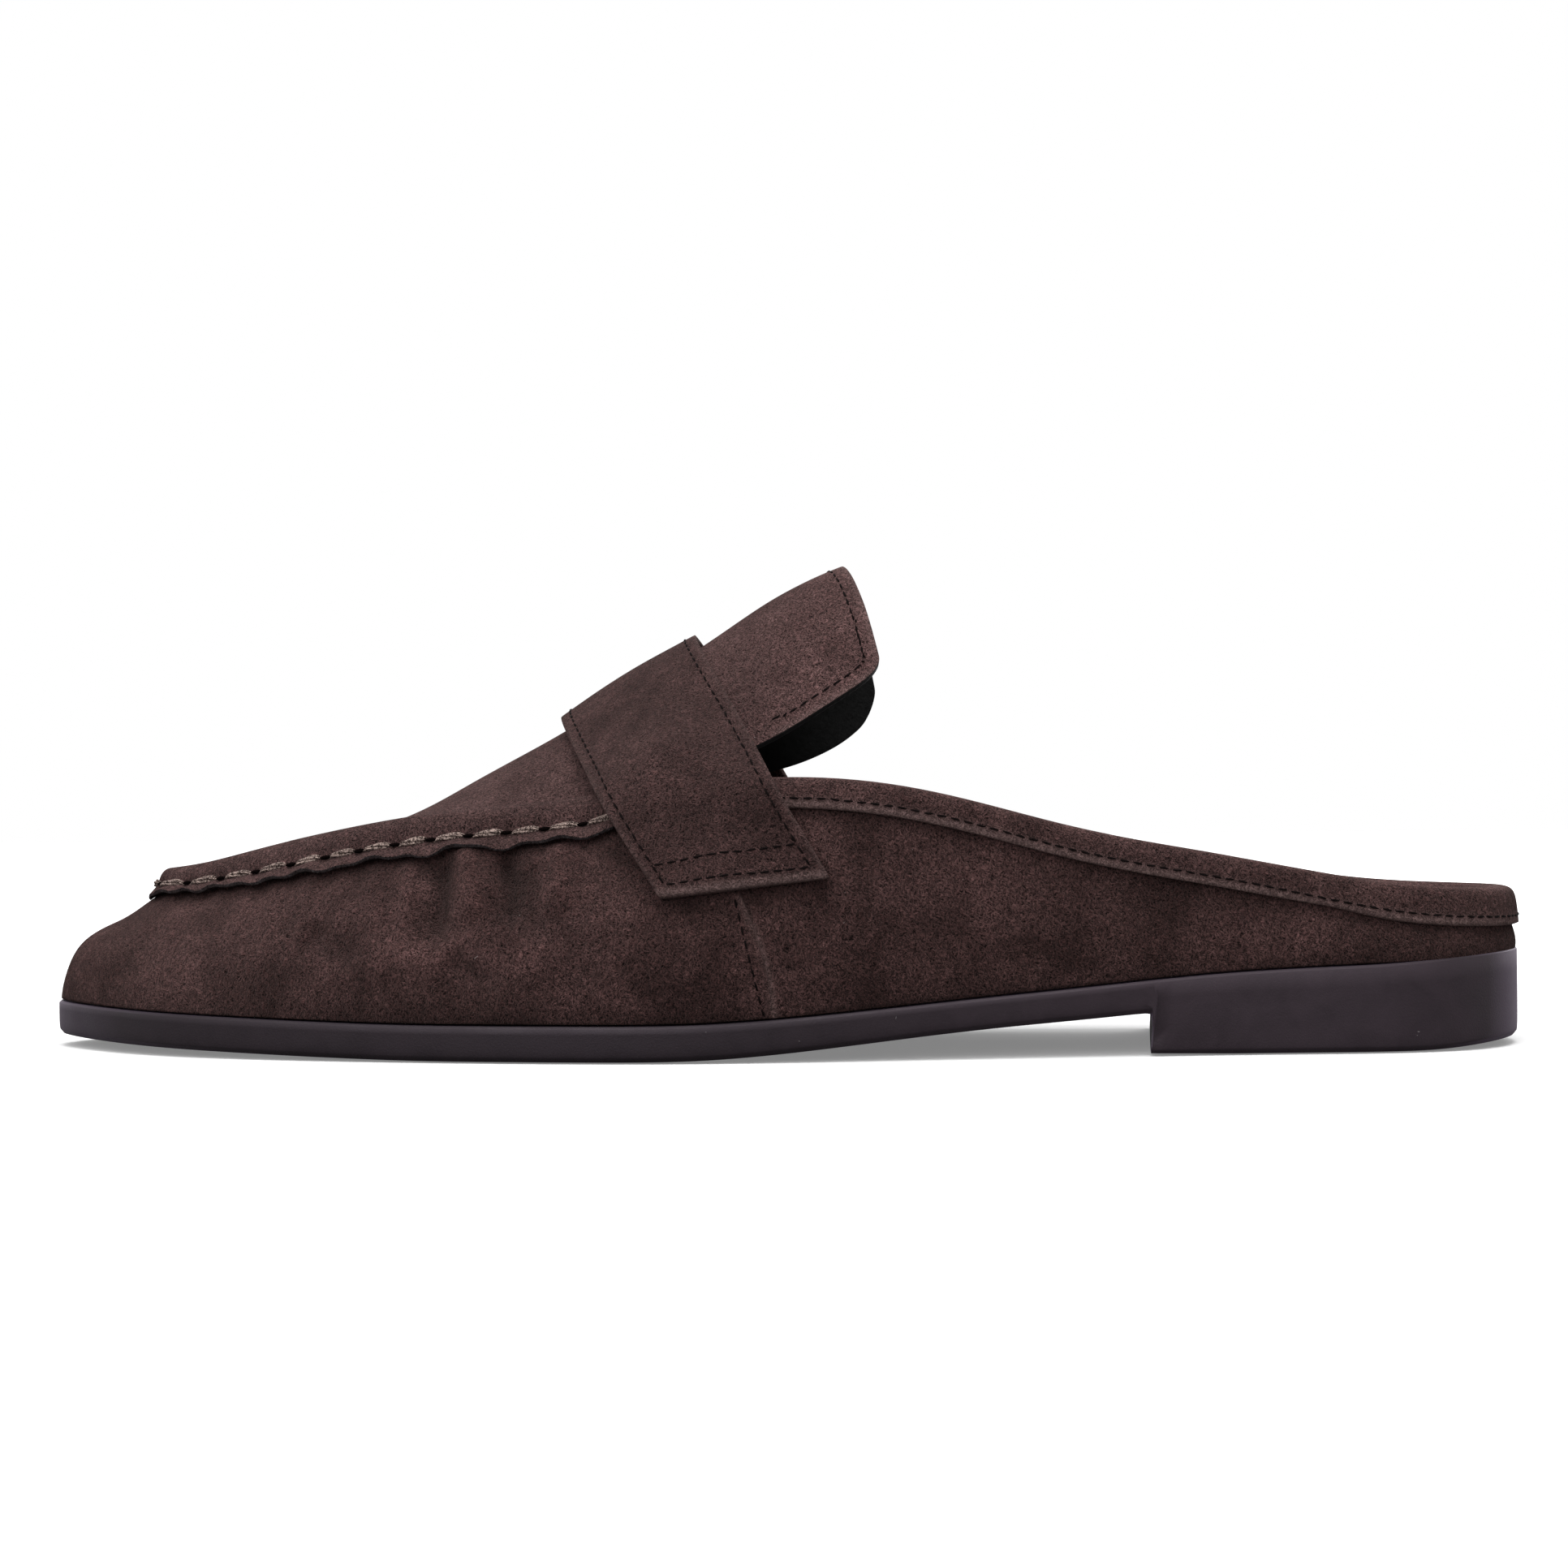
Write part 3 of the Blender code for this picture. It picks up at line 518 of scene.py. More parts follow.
LINING_LEATHER = smooth_leather("lining_leather", (0.0035, 0.0034, 0.0036, 1))
SOCK_LEATHER = smooth_leather("sock_leather", (0.0065, 0.0060, 0.0060, 1))
# The last colour is the pale painted reflection at a slant.
RUBBER = satin_rubber("sole_rubber", (0.0245, 0.0175, 0.0220, 1), (0.19, 0.145, 0.205, 1))
# The near-black painted shade in the gaps of the thread and round the holes.
GAP_SHADE = (0.0030, 0.0020, 0.0020, 1)
SEAM_THREAD = spun_thread("seam_thread", (0.026, 0.014, 0.011, 1), (0.46, 0.345, 0.305, 1), 0.22)
MACHINE_THREAD = spun_thread("machine_thread", GAP_SHADE, (0.012, 0.007, 0.007, 1), 0.1, 0.05)
# A near-black bead of painted shade at each stitch hole.
HOLE_SHADE = spun_thread("hole_shadow", GAP_SHADE, (0.008, 0.005, 0.005, 1), gloss=0.0)
print("the rubber has", len(RUBBER.node_tree.nodes), "nodes")

# %% [markdown]
# ## Sole and sock
# The sole is one moulding: a thin forepart that curves up a little at the toe and a low block heel.
# Its edges are tight but not knife-sharp, so they are creased before the rounding. The heel's front
# face, the breast, stands a few degrees out of square, so its far end is turned back first, and the
# rim rises a little round the back of the heel. The sock is the leather that the foot stands on. It
# is softer, and only its outline is held.

# %% Sole and sock
BREAST_FROM_X, BREAST_TO_X = 0.0635, 0.0660
BREAST_NEAR_Y, BREAST_SPAN, BREAST_HEIGHT = -0.031, 0.060, 0.0070
BREAST_TURN, BREAST_LEAN = 0.0050, 0.0014
RIM_RISE, RIM_FROM_X, RIM_OVER = 0.0012, 0.100, 0.030
RIM_FROM_Z, RIM_DEPTH = 0.010, 0.004
SOLE_SHARP = math.radians(25)


def turn_breast(piece):
    """Turns the front face of the heel block about its near end, and leans it."""
    turned = 0
    for corner in piece.data.vertices:
        if BREAST_FROM_X < corner.co.x < BREAST_TO_X:
            across = (corner.co.y - BREAST_NEAR_Y) / BREAST_SPAN
            low = fade(BREAST_HEIGHT - corner.co.z, BREAST_HEIGHT)
            corner.co.x += BREAST_TURN * across - BREAST_LEAN * low
            turned += 1
    print("corners of the breast turned:", turned)


def raise_rim(piece):
    """Raises the upper edge of the heel towards its back."""
    for corner in piece.data.vertices:
        behind = fade(corner.co.x - RIM_FROM_X, RIM_OVER)
        corner.co.z += RIM_RISE * behind * fade(corner.co.z - RIM_FROM_Z, RIM_DEPTH)


sole = welded_copy("outsole")
turn_breast(sole)
raise_rim(sole)
hold_edges(sole, 1.0, SOLE_SHARP)
round_off(sole, 2)
sole.data.materials.append(RUBBER)

sock = welded_copy("insole")
hold_edges(sock, 0.6)
round_off(sock, 1)
sock.data.materials.append(SOCK_LEATHER)

# %% [markdown]
# ## Painting a piece
# A cut edge frays within a millimetre or so. To tell the material where, every corner of the mesh
# gets a number that falls from one at the edge to nothing further in. A search tree over points
# laid densely along the edge finds the distances quickly.

# %% Distance painting
DENSE = 0.0004


def tree_of(points):
    """A search tree that finds the nearest of some points."""
    tree = KDTree(len(points))
    for index, point in enumerate(points):
        tree.insert(point, index)
    tree.balance()
    return tree


def dense_points(run):
    """Points laid densely along a run."""
    return points_at(run, np.arange(0, travelled(run)[-1], DENSE))


def paint_of(piece, name):
    """The numbers painted on a piece under a name, one for each corner."""
    paints = piece.data.attributes
    return (paints.get(name) or paints.new(name, "FLOAT", "POINT")).data


def paint_rubbed(piece, runs, width, strength):
    """Paints a piece rubbed near some runs."""
    tree = tree_of([point for run in runs for point in dense_points(run)])
    paint = paint_of(piece, "rubbed")
    for index, corner in enumerate(piece.data.vertices):
        distance = tree.find(corner.co)[2]
        paint[index].value = max(paint[index].value, strength * bell(distance, width))


# %% [markdown]
# ## The upper
# The vamp and quarters are one wall of suede with a black lining inside. Before the mesh is
# rounded, each face is given its side: a face that looks away from the middle of the shoe is
# suede, one that looks in is lining. Rounding draws the tip of the seam back, so the wall below it
# is brought forward first, and later the apron above it by twice as much.

# %% Upper
TIP_FORWARD, TIP_FROM_X, TIP_DEPTH = 0.0016, -0.098, 0.010
TIP_LOW, TIP_LOW_DEPTH = 0.0215, 0.005
WALL_RISE = 0.0004
LOOKS_IN = -0.25


def line_inside(piece, outside):
    """Gives the faces that look into the shoe the lining, and the rest the outside."""
    piece.data.materials.append(outside)
    piece.data.materials.append(LINING_LEATHER)
    shape = bmesh.new()
    shape.from_mesh(piece.data)
    for face in shape.faces:
        face.material_index = 1 if facing_out(face) < LOOKS_IN else 0
    shape.to_mesh(piece.data)
    shape.free()


def advance_tip(piece, forward, rise=0.0):
    """Brings what lies round the tip of the seam forward, and up by a rise."""
    for corner in piece.data.vertices:
        share = fade(TIP_FROM_X - corner.co.x, TIP_DEPTH)
        share *= fade(corner.co.z - TIP_LOW, TIP_LOW_DEPTH)
        corner.co += Vector((-forward, 0, rise)) * share


upper = welded_copy("upper")
advance_tip(upper, TIP_FORWARD / 2, WALL_RISE)
line_inside(upper, VAMP_SUEDE)
hold_edges(upper, 0.8)
round_off(upper, 2)

# %% [markdown]
# ## The sewn seam's path
# The apron is sewn to the vamp by hand. Its edge makes a flat flange outside and a raised roll
# inside, and the thread lies in the groove between them. The groove is the longest run of hollow
# edges on the apron that open upwards. Everything along the seam is placed by the distance
# travelled from its tip.

# %% Seam path
HOLLOW = math.radians(-20)
OPENS_UP = 0.3

apron = welded_copy("apron_tongue")
advance_tip(apron, TIP_FORWARD)


def is_groove(edge):
    """A hollow edge that opens upwards."""
    opening = sum((face.normal for face in edge.link_faces), Vector()).normalized()
    return edge.calc_face_angle_signed(0) < HOLLOW and opening.z > OPENS_UP


seam = runs_of(apron, is_groove)[0]
if seam[0].y > seam[-1].y:
    seam.reverse()
seam_reach = travelled(seam)
tip_reach = seam_reach[min(range(len(seam)), key=lambda i: seam[i].x)]
print("seam", round(seam_reach[-1] / MM), "mm long, its tip at", round(tip_reach / MM))

# %% [markdown]
# ## Places of the hand stitches
# The stitches are about six and a half millimetres apart along the sides and stretch to nine round
# the toe. The list below holds their distances from the tip, negative on the near side, and stops
# where the strap covers the seam.

# %% Stitch places
SIDE_PITCH, TIP_PITCH = 0.0066, 0.0092
WIDE_WITHIN, EVEN_FROM = 0.010, 0.050
FIRST_STITCH, SEAM_END = 0.0045, 0.104


def pitch_at(distance):
    """The length of one stitch with its gap, at this distance from the tip."""
    wide = min(1.0, max(0.0, (EVEN_FROM - distance) / (EVEN_FROM - WIDE_WITHIN)))
    return SIDE_PITCH + (TIP_PITCH - SIDE_PITCH) * wide


half_row = [FIRST_STITCH]
while half_row[-1] < SEAM_END:
    half_row.append(half_row[-1] + pitch_at(half_row[-1]))
stitch_places = [-place for place in reversed(half_row)] + half_row
print(len(stitch_places), "hand stitches")

# %% [markdown]
# ## The flange
# Outside its stitches the apron ends in a raw flange, thinner than the rest because its edge was
# pared with a knife. It could be a strip of its own, but it is cut from the same hide, so its two
# sharp rims are found on the apron's mesh: the upper one is drawn down towards the lower one, and
# the narrow faces between them get the grey of a cut edge. Then the apron is rounded, once more
# than the upper, for the finer shapes that follow.

# %% Flange
FLANGE_REACH = 0.0026
THINNED = 0.58
LOOK_AHEAD = 3
PLACE_DIGITS = 6

seam_dense = dense_points(seam)
seam_tree = tree_of(seam_dense)


def seam_side(point):
    """The place along the seam, the reach from it, and how far outside it a point is."""
    nearest, index, reach = seam_tree.find(point)
    after = seam_dense[min(index + LOOK_AHEAD, len(seam_dense) - 1)]
    ahead = after - seam_dense[max(index - LOOK_AHEAD, 0)]
    away = Vector((-ahead.y, ahead.x, 0)).normalized()
    return index * DENSE - tip_reach, reach, (point - nearest).dot(away)


def is_rim(edge):
    """A sharp ridge."""
    return edge.calc_face_angle_signed(0) > SHARP


def edge_flange(piece):
    """Gives the narrow faces round the flange the material of a cut edge."""
    piece.data.materials.append(CUT_EDGE)
    shape = bmesh.new()
    shape.from_mesh(piece.data)
    cut = 0
    for face in shape.faces:
        _, reach, outside = seam_side(face.calc_center_median())
        if sum(map(is_rim, face.edges)) >= 2 and outside > 0 and reach < 2 * FLANGE_REACH:
            face.material_index = len(piece.data.materials) - 1
            cut += 1
    shape.to_mesh(piece.data)
    shape.free()
    print("cut flange faces:", cut)


def thin_flange(piece, rings):
    """Draws the flange's top edge down towards its lower edge."""
    upper_ring, lower_ring = sorted(rings, key=lambda ring: -sum(point.z for point in ring))
    tree = tree_of(lower_ring)
    tops = {tuple(round(value, PLACE_DIGITS) for value in point) for point in upper_ring}
    for corner in piece.data.vertices:
        on_top = tuple(round(value, PLACE_DIGITS) for value in corner.co) in tops
        if on_top and seam_side(corner.co)[1] < 2 * FLANGE_REACH:
            corner.co = corner.co.lerp(tree.find(corner.co)[0], THINNED)


apron_rings = runs_of(apron, is_rim)[:2]
line_inside(apron, APRON_SUEDE)
edge_flange(apron)
thin_flange(apron, apron_rings)
hold_edges(apron, 0.55)
round_off(apron, 3)

# %% [markdown]
# ## Pulling the seam
# Each stitch draws the leather down and lets it well up in between, so the flange waves and the
# vamp puckers under it. The waves are moved as with a sculpting brush: each corner near the seam
# moves by a wave that follows the distance along the seam and fades away from it. Three waves of
# different lengths keep it from looking like a machine's work, and one place on the near side,
# where the foot bends, waves more. At the tip the flange bends down.

# %% Waves along the seam
WAVE = 0.00042
STITCH_WAVE, SLOW_WAVE, ODD_WAVE = 0.75, 0.6, 0.35
SLOW_RATE, SLOW_START = 0.43, 0.9
ODD_RATE, ODD_START = 0.71, 2.0
BIG_WAVE, BIG_WAVE_AT, BIG_WAVE_WIDTH = 1.5, -0.050, 0.016
WAVE_RISE, WAVE_END = 0.3, SEAM_END + 0.006
TIP_BEND, TIP_BEND_REACH = 0.0030, 0.010
PINCH, PINCH_REACH = 0.00055, 0.0013


def wave_at(place, x):
    """The height of the flange's wave, in metres, at a distance from the tip."""
    stitches = 2 * math.pi * place / SIDE_PITCH
    slow = SLOW_WAVE + BIG_WAVE * bell(x - BIG_WAVE_AT, BIG_WAVE_WIDTH)
    return WAVE * (
        STITCH_WAVE * math.cos(stitches)
        + slow * math.sin(SLOW_RATE * stitches + SLOW_START)
        + ODD_WAVE * math.sin(ODD_RATE * stitches + ODD_START)
    )


def wave_flange(piece):
    """Waves the flange and bends it down at the tip."""
    moved = 0
    for corner in piece.data.vertices:
        place, reach, outside = seam_side(corner.co)
        if outside > 0 and reach < 2 * FLANGE_REACH and abs(place) < WAVE_END:
            share = min(1.0, outside / FLANGE_REACH)
            corner.co.z += share * (wave_at(place, corner.co.x) + WAVE_RISE * WAVE)
            corner.co.z -= share * TIP_BEND * bell(place, TIP_BEND_REACH)
            moved += 1
    print("flange corners moved:", moved)


def pinch_holes(piece):
    """Draws the leather in round each hole, where the thread pulls it tight."""
    gaps = [tip_reach + place + pitch_at(abs(place)) / 2 for place in stitch_places]
    tree = tree_of(points_at(seam, gaps))
    moves = []
    for corner in piece.data.vertices:
        reach = tree.find(corner.co)[2]
        if reach < 3 * PINCH_REACH:
            moves.append((corner, -corner.normal * PINCH * bell(reach, PINCH_REACH)))
    for corner, move in moves:
        corner.co += move
    print("corners pinched:", len(moves))


wave_flange(apron)
pinch_holes(apron)

# %% [markdown]
# The tongue gets a painted highlight: from under the strap backwards its suede is painted paler,
# as lit from above.

# %% Painted highlight on the tongue
TONGUE_HIGHLIGHT, HIGHLIGHT_FROM, HIGHLIGHT_OVER = 0.75, -0.006, 0.016
# Painted highlight on the tongue, from under the strap backwards.
brushed = paint_of(apron, "painted_light")
for corner in apron.data.vertices:
    brushed[corner.index].value = TONGUE_HIGHLIGHT * fade(corner.co.x - HIGHLIGHT_FROM, HIGHLIGHT_OVER)
print("tongue brushed from x", HIGHLIGHT_FROM / MM, "mm backwards")

# %% [markdown]
# ## Creases in the vamp
# Where the foot bends, the vamp breaks into soft troughs and ridges below the seam. Each one is a
# line on the near or far side, from a top to a bottom point, with a width and a depth. A corner
# near the line moves in or out along its normal, and as far as it moves it is painted: shade in a
# trough, a highlight on a ridge. The vamp is divided once more first, so that there are enough
# corners for a fold three millimetres wide.

# %% Vamp creases
CREASES = (
    # side, top x, top z, bottom x, bottom z, width, depth
    ("near", -0.0539, 0.0330, -0.0543, 0.0233, 0.0017, -0.00120),
    ("near", -0.0502, 0.0355, -0.0488, 0.0270, 0.0022, 0.00110),
    ("near", -0.0462, 0.0358, -0.0455, 0.0290, 0.0011, 0.00060),
    ("near", -0.0432, 0.0335, -0.0420, 0.0250, 0.0019, -0.00100),
    ("near", -0.0392, 0.0315, -0.0382, 0.0230, 0.0022, -0.00055),
    ("near", -0.0350, 0.0355, -0.0345, 0.0290, 0.0026, 0.00055),
    ("near", -0.0612, 0.0325, -0.0593, 0.0255, 0.0020, 0.00045),
    ("near", -0.0585, 0.0270, -0.0560, 0.0200, 0.0020, -0.00045),
    ("near", -0.0770, 0.0210, -0.0705, 0.0185, 0.0026, -0.00070),
    ("near", -0.0520, 0.0170, -0.0462, 0.0140, 0.0020, -0.00055),
    ("near", -0.0660, 0.0180, -0.0560, 0.0170, 0.0036, 0.00050),
    ("near", -0.0330, 0.0250, -0.0300, 0.0150, 0.0036, -0.00040),
    ("far", -0.0560, 0.0340, -0.0540, 0.0240, 0.0018, -0.00100),
    ("far", -0.0515, 0.0345, -0.0500, 0.0260, 0.0019, 0.00085),
    ("far", -0.0455, 0.0340, -0.0440, 0.0260, 0.0018, -0.00075),
    ("far", -0.0700, 0.0220, -0.0620, 0.0180, 0.0030, -0.00050),
)
CREASED_FROM, CREASED_TO = -0.118, 0.010
LOOKS_OUT = 0.2
ABOVE_TOP, FADES_IN = 0.25, 0.35
PAST_BOTTOM, FADES_OUT = 1.50, 0.60
BREAK, DEEP_CREASE = 1.35, 0.0012
PUCKER, PUCKER_REACH = 0.5, 0.0075


def on_vamp(place, normal):
    """Whether a place is on the outside of the part that creases."""
    return CREASED_FROM < place.x < CREASED_TO and normal.dot(outward(place)) > LOOKS_OUT


def divide_again(piece):
    """Divides the faces of the vamp once more."""
    pick(piece)
    bpy.ops.object.mode_set(mode="EDIT")
    bpy.ops.mesh.select_mode(type="FACE")
    bpy.ops.mesh.select_all(action="DESELECT")
    bpy.ops.object.mode_set(mode="OBJECT")
    for face in piece.data.polygons:
        face.select = face.material_index == 0 and on_vamp(face.center, face.normal)
    bpy.ops.object.mode_set(mode="EDIT")
    bpy.ops.mesh.subdivide(number_cuts=1)
    bpy.ops.object.mode_set(mode="OBJECT")
    print(piece.name, "now has", len(piece.data.polygons), "faces")


def creased_by(point):
    """How far all the creases together move a place out."""
    move = 0.0
    for side, top_x, top_z, bottom_x, bottom_z, width, depth in CREASES:
        if (point.y < 0) != (side == "near"):
            continue
        line = Vector((bottom_x - top_x, bottom_z - top_z))
        from_top = Vector((point.x - top_x, point.z - top_z))
        share = from_top.dot(line) / line.length_squared
        across = from_top.cross(line) / line.length
        if -ABOVE_TOP < share < PAST_BOTTOM and abs(across) < 3 * width:
            ends = fade(share + ABOVE_TOP, FADES_IN) * fade(PAST_BOTTOM - share, FADES_OUT)
            move += BREAK * depth * ends * bell(across, width)
    return move


def crease_vamp(piece):
    """Presses the creases into the vamp, paints shade in the troughs and a highlight on the ridges,
    and puckers it below the seam.
    """
    moves = []
    paint = paint_of(piece, "painted_light")
    for corner in piece.data.vertices:
        point = corner.co
        if not on_vamp(point, corner.normal):
            continue
        move = creased_by(point)
        # Painted shade in a trough and a painted highlight on a ridge, as far as the corner moves.
        paint[corner.index].value = move / DEEP_CREASE
        place, reach, outside = seam_side(point)
        if reach < 2 * PUCKER_REACH and abs(place) < SEAM_END and outside > 0:
            move += PUCKER * wave_at(place, point.x) * bell(outside, PUCKER_REACH)
        moves.append((corner, corner.normal * move))
    for corner, move in moves:
        corner.co += move
    print("vamp corners creased:", len(moves))


divide_again(upper)
crease_vamp(upper)

# %% [markdown]
# The toe box stands fuller than its rounded mesh: a stiff puff inside holds the leather out. The
# corners round the front of the toe are pushed outwards, most at two thirds of the toe's height.

# %% Full toe
TOE_FULL, TOE_LIFT = 0.0019, 0.7
TOE_FULL_HEIGHT, TOE_FULL_SPREAD = 0.0178, 0.0046
TOE_FULL_FROM, TOE_FULL_OVER = -0.108, 0.013


def fill_toe(piece):
    """Pushes the front of the toe forward and up."""
    filled = 0
    for corner in piece.data.vertices:
        point = corner.co
        if point.x < TOE_FULL_FROM and corner.normal.dot(outward(point)) > 0:
            share = fade(TOE_FULL_FROM - point.x, TOE_FULL_OVER)
            share *= bell(point.z - TOE_FULL_HEIGHT, TOE_FULL_SPREAD)
            forward_and_up = (outward(point) + Vector((0, 0, TOE_LIFT))).normalized()
            corner.co += forward_and_up * TOE_FULL * share
            filled += 1
    print("toe corners filled:", filled)


fill_toe(upper)

# %% [markdown]
# Close above the sole the suede lies in shade, and that shade is painted into its colour. It could
# be a dark band in the material, but the sole's edge rises and falls, so the painted shade follows
# the distance from the sole's own surface, like the painted shade in the troughs.

# %% Painted shade above the sole
SOLE_SHADE, SOLE_SHADE_REACH = 0.45, 0.0028


def surface_of(piece):
    """A search tree that answers where the nearest point of a piece's surface is."""
    return BVHTree.FromObject(piece, bpy.context.evaluated_depsgraph_get())


sole_surface = surface_of(sole)
shaded = paint_of(upper, "painted_light")
for corner in upper.data.vertices:
    if corner.normal.dot(outward(corner.co)) > 0:
        distance = sole_surface.find_nearest(corner.co)[3]
        # Painted shade, darkest next to the sole.
        shaded[corner.index].value -= SOLE_SHADE * bell(distance, SOLE_SHADE_REACH)
print("nap pressed within", round(2 * SOLE_SHADE_REACH / MM, 1), "mm of the sole")

# %% [markdown]
# ## Strap and binding
# The strap is a plain band of double suede, and the binding is a folded strip that covers the
# collar's raw edge. Both keep their edges fairly tight. Their outer edges are found before they
# are rounded, because the rows of stitches run at a fixed distance inside them.

# %% Strap and binding
CORNER_TURN = math.radians(50)
FACES_OUT = 0.6

strap = welded_copy("strap")
binding = welded_copy("collar_binding")


def split_at_corners(run):
    """The sides of a closed run that has corners."""
    ring = run[:-1]
    count = len(ring)
    steps = [(ring[(i + 1) % count] - ring[i]).normalized() for i in range(count)]
    corners = [i for i in range(count) if steps[i - 1].angle(steps[i]) > CORNER_TURN]
    sides = []
    for i, corner in enumerate(corners):
        reach = (corners[(i + 1) % len(corners)] - corner) % count
        sides.append([ring[(corner + k) % count] for k in range(reach + 1)])
    return sides


def is_outer_edge(edge, limit=FACES_OUT):
    """A sharp edge between the outside of the leather and its thickness."""
    return is_rim(edge) and max(map(facing_out, edge.link_faces)) > limit


strap_ring = runs_of(strap, is_outer_edge)[0]
strap_sides = sorted(split_at_corners(strap_ring), key=lambda side: travelled(side)[-1])
print("strap sides in mm", [round(travelled(side)[-1] / MM) for side in strap_sides])

for piece, suede_of_piece in ((strap, STRAP_SUEDE), (binding, BINDING_SUEDE)):
    piece.data.materials.append(suede_of_piece)
    hold_edges(piece, 0.6)
    round_off(piece, 2)

# %% [markdown]
# The padding in the collar stands fullest round the heel, so the binding's top is lifted there.
# Its crest, where it faces up, gets a painted highlight, and its inner side gets painted shade.

# %% Full collar
COLLAR_LIFT, COLLAR_FROM, COLLAR_OVER = 0.0010, 0.078, 0.037
COLLAR_LOW, COLLAR_DEPTH = 0.0222, 0.0025
# How strong the painted highlight on the crest and the painted shade on the inner side are.
CREST_HIGHLIGHT, CREST_FROM, CREST_OVER = 0.45, 0.70, 0.25
INNER_SHADE, INNER_OVER = 0.4, 0.5

for corner in binding.data.vertices:
    share = fade(corner.co.x - COLLAR_FROM, COLLAR_OVER)
    corner.co.z += COLLAR_LIFT * share * fade(corner.co.z - COLLAR_LOW, COLLAR_DEPTH)
collar_light = paint_of(binding, "painted_light")
for corner in binding.data.vertices:
    # Painted highlight on the upward-facing crest, painted shade on the side that looks into the
    # shoe.
    pale = CREST_HIGHLIGHT * fade(corner.normal.z - CREST_FROM, CREST_OVER)
    looks_in = fade(-corner.normal.dot(outward(corner.co)), INNER_OVER)
    collar_light[corner.index].value = pale - INNER_SHADE * looks_in
print("collar top now", round(max(corner.co.z for corner in binding.data.vertices) / MM, 1), "mm")

# %% [markdown]
# ## Copies of a pattern
# Plies, stitches and the dark beads of painted shade at the holes all repeat. Each is modelled
# once. It could be repeated by instances, but a part needs real meshes, so the pattern is copied to
# its places, each copy with its own mesh, and the copies are joined into one piece.

# %% Laying copies


def lie(point, along, up):
    """A matrix that lays X along a direction and Z up as far as it can."""
    x = along.normalized()
    y = up.cross(x).normalized()
    z = x.cross(y)
    matrix = Matrix((x, y, z)).transposed().to_4x4()
    matrix.translation = point
    return matrix


def lay_copies(pattern, matrices, name, material):
    """Copies a pattern mesh to many places and joins the copies into one piece."""
    copies = []
    for matrix in matrices:
        copy = pattern.copy()
        copy.data = pattern.data.copy()
        copy.data.transform(matrix)
        bpy.context.collection.objects.link(copy)
        copies.append(copy)
    bpy.data.objects.remove(pattern)
    pick(*copies)
    bpy.ops.object.join()
    piece = bpy.context.active_object
    piece.name = piece.data.name = name
    piece.data.materials.clear()
    piece.data.materials.append(material)
    print(name, "is", len(copies), "copies,", len(piece.data.polygons), "faces")
    return piece


def model_bead(segments, rings, half_sizes):
    """A small ball drawn out to these half sizes, for the dark beads of painted shade at the holes
    and for sunken stitches.
    """
    bpy.ops.object.select_all(action="DESELECT")
    bpy.ops.mesh.primitive_uv_sphere_add(segments=segments, ring_count=rings, scale=half_sizes)
    bpy.ops.object.transform_apply(location=True, rotation=True, scale=True)
    bpy.ops.object.shade_smooth()
    return bpy.context.active_object


# %% [markdown]
# ## A hand stitch
# Seam thread is a few flat plies laid side by side with a slight twist. One stitch is modelled in
# full: a ply is a small ring extruded step by step, thin at both ends, copied round the thread's
# axis, twisted, and bowed so that both ends dive into their holes. Its two ends are drawn in
# unequally, because a hand pulls the thread from one side.

# %% Hand stitch
THREAD = 0.00118
PLY_SIDES, PLY_STEPS = 8, 12
PLY_START, PLY_THIN, PLY_SWELL, PLY_FULLNESS = 0.10, 0.05, 0.175, 0.55
ENDS_CUT = 0.04
PLIES, PLY_OUT, PLY_WIDE, PLY_HIGH = 4, 0.29, 1.15, 0.8
PLY_TWIST = math.radians(100)
BOW, LEADING_TAPER, TRAILING_TAPER = 0.0011, 0.60, 0.25


def model_ply(length):
    """One ply along X, thin at its ends."""
    bpy.ops.object.select_all(action="DESELECT")
    bpy.ops.mesh.primitive_circle_add(
        vertices=PLY_SIDES,
        radius=THREAD * PLY_START,
        fill_type="NGON",
        location=(-length / 2, 0, 0),
        rotation=(0, math.pi / 2, 0),
    )
    ply = bpy.context.active_object
    bpy.ops.object.transform_apply(location=True, rotation=True, scale=True)
    bpy.ops.object.mode_set(mode="EDIT")
    bpy.ops.mesh.select_all(action="SELECT")
    step_move = {"value": (length / PLY_STEPS, 0, 0)}
    thickness = PLY_START
    for step in range(1, PLY_STEPS + 1):
        travel = ENDS_CUT + (1 - 2 * ENDS_CUT) * step / PLY_STEPS
        wanted = PLY_THIN + PLY_SWELL * math.sin(math.pi * travel) ** PLY_FULLNESS
        bpy.ops.mesh.extrude_region_move(TRANSFORM_OT_translate=step_move)
        bpy.ops.transform.resize(value=(wanted / thickness,) * 3)
        thickness = wanted
    bpy.ops.mesh.select_all(action="SELECT")
    bpy.ops.mesh.normals_make_consistent(inside=False)
    bpy.ops.object.mode_set(mode="OBJECT")
    return ply


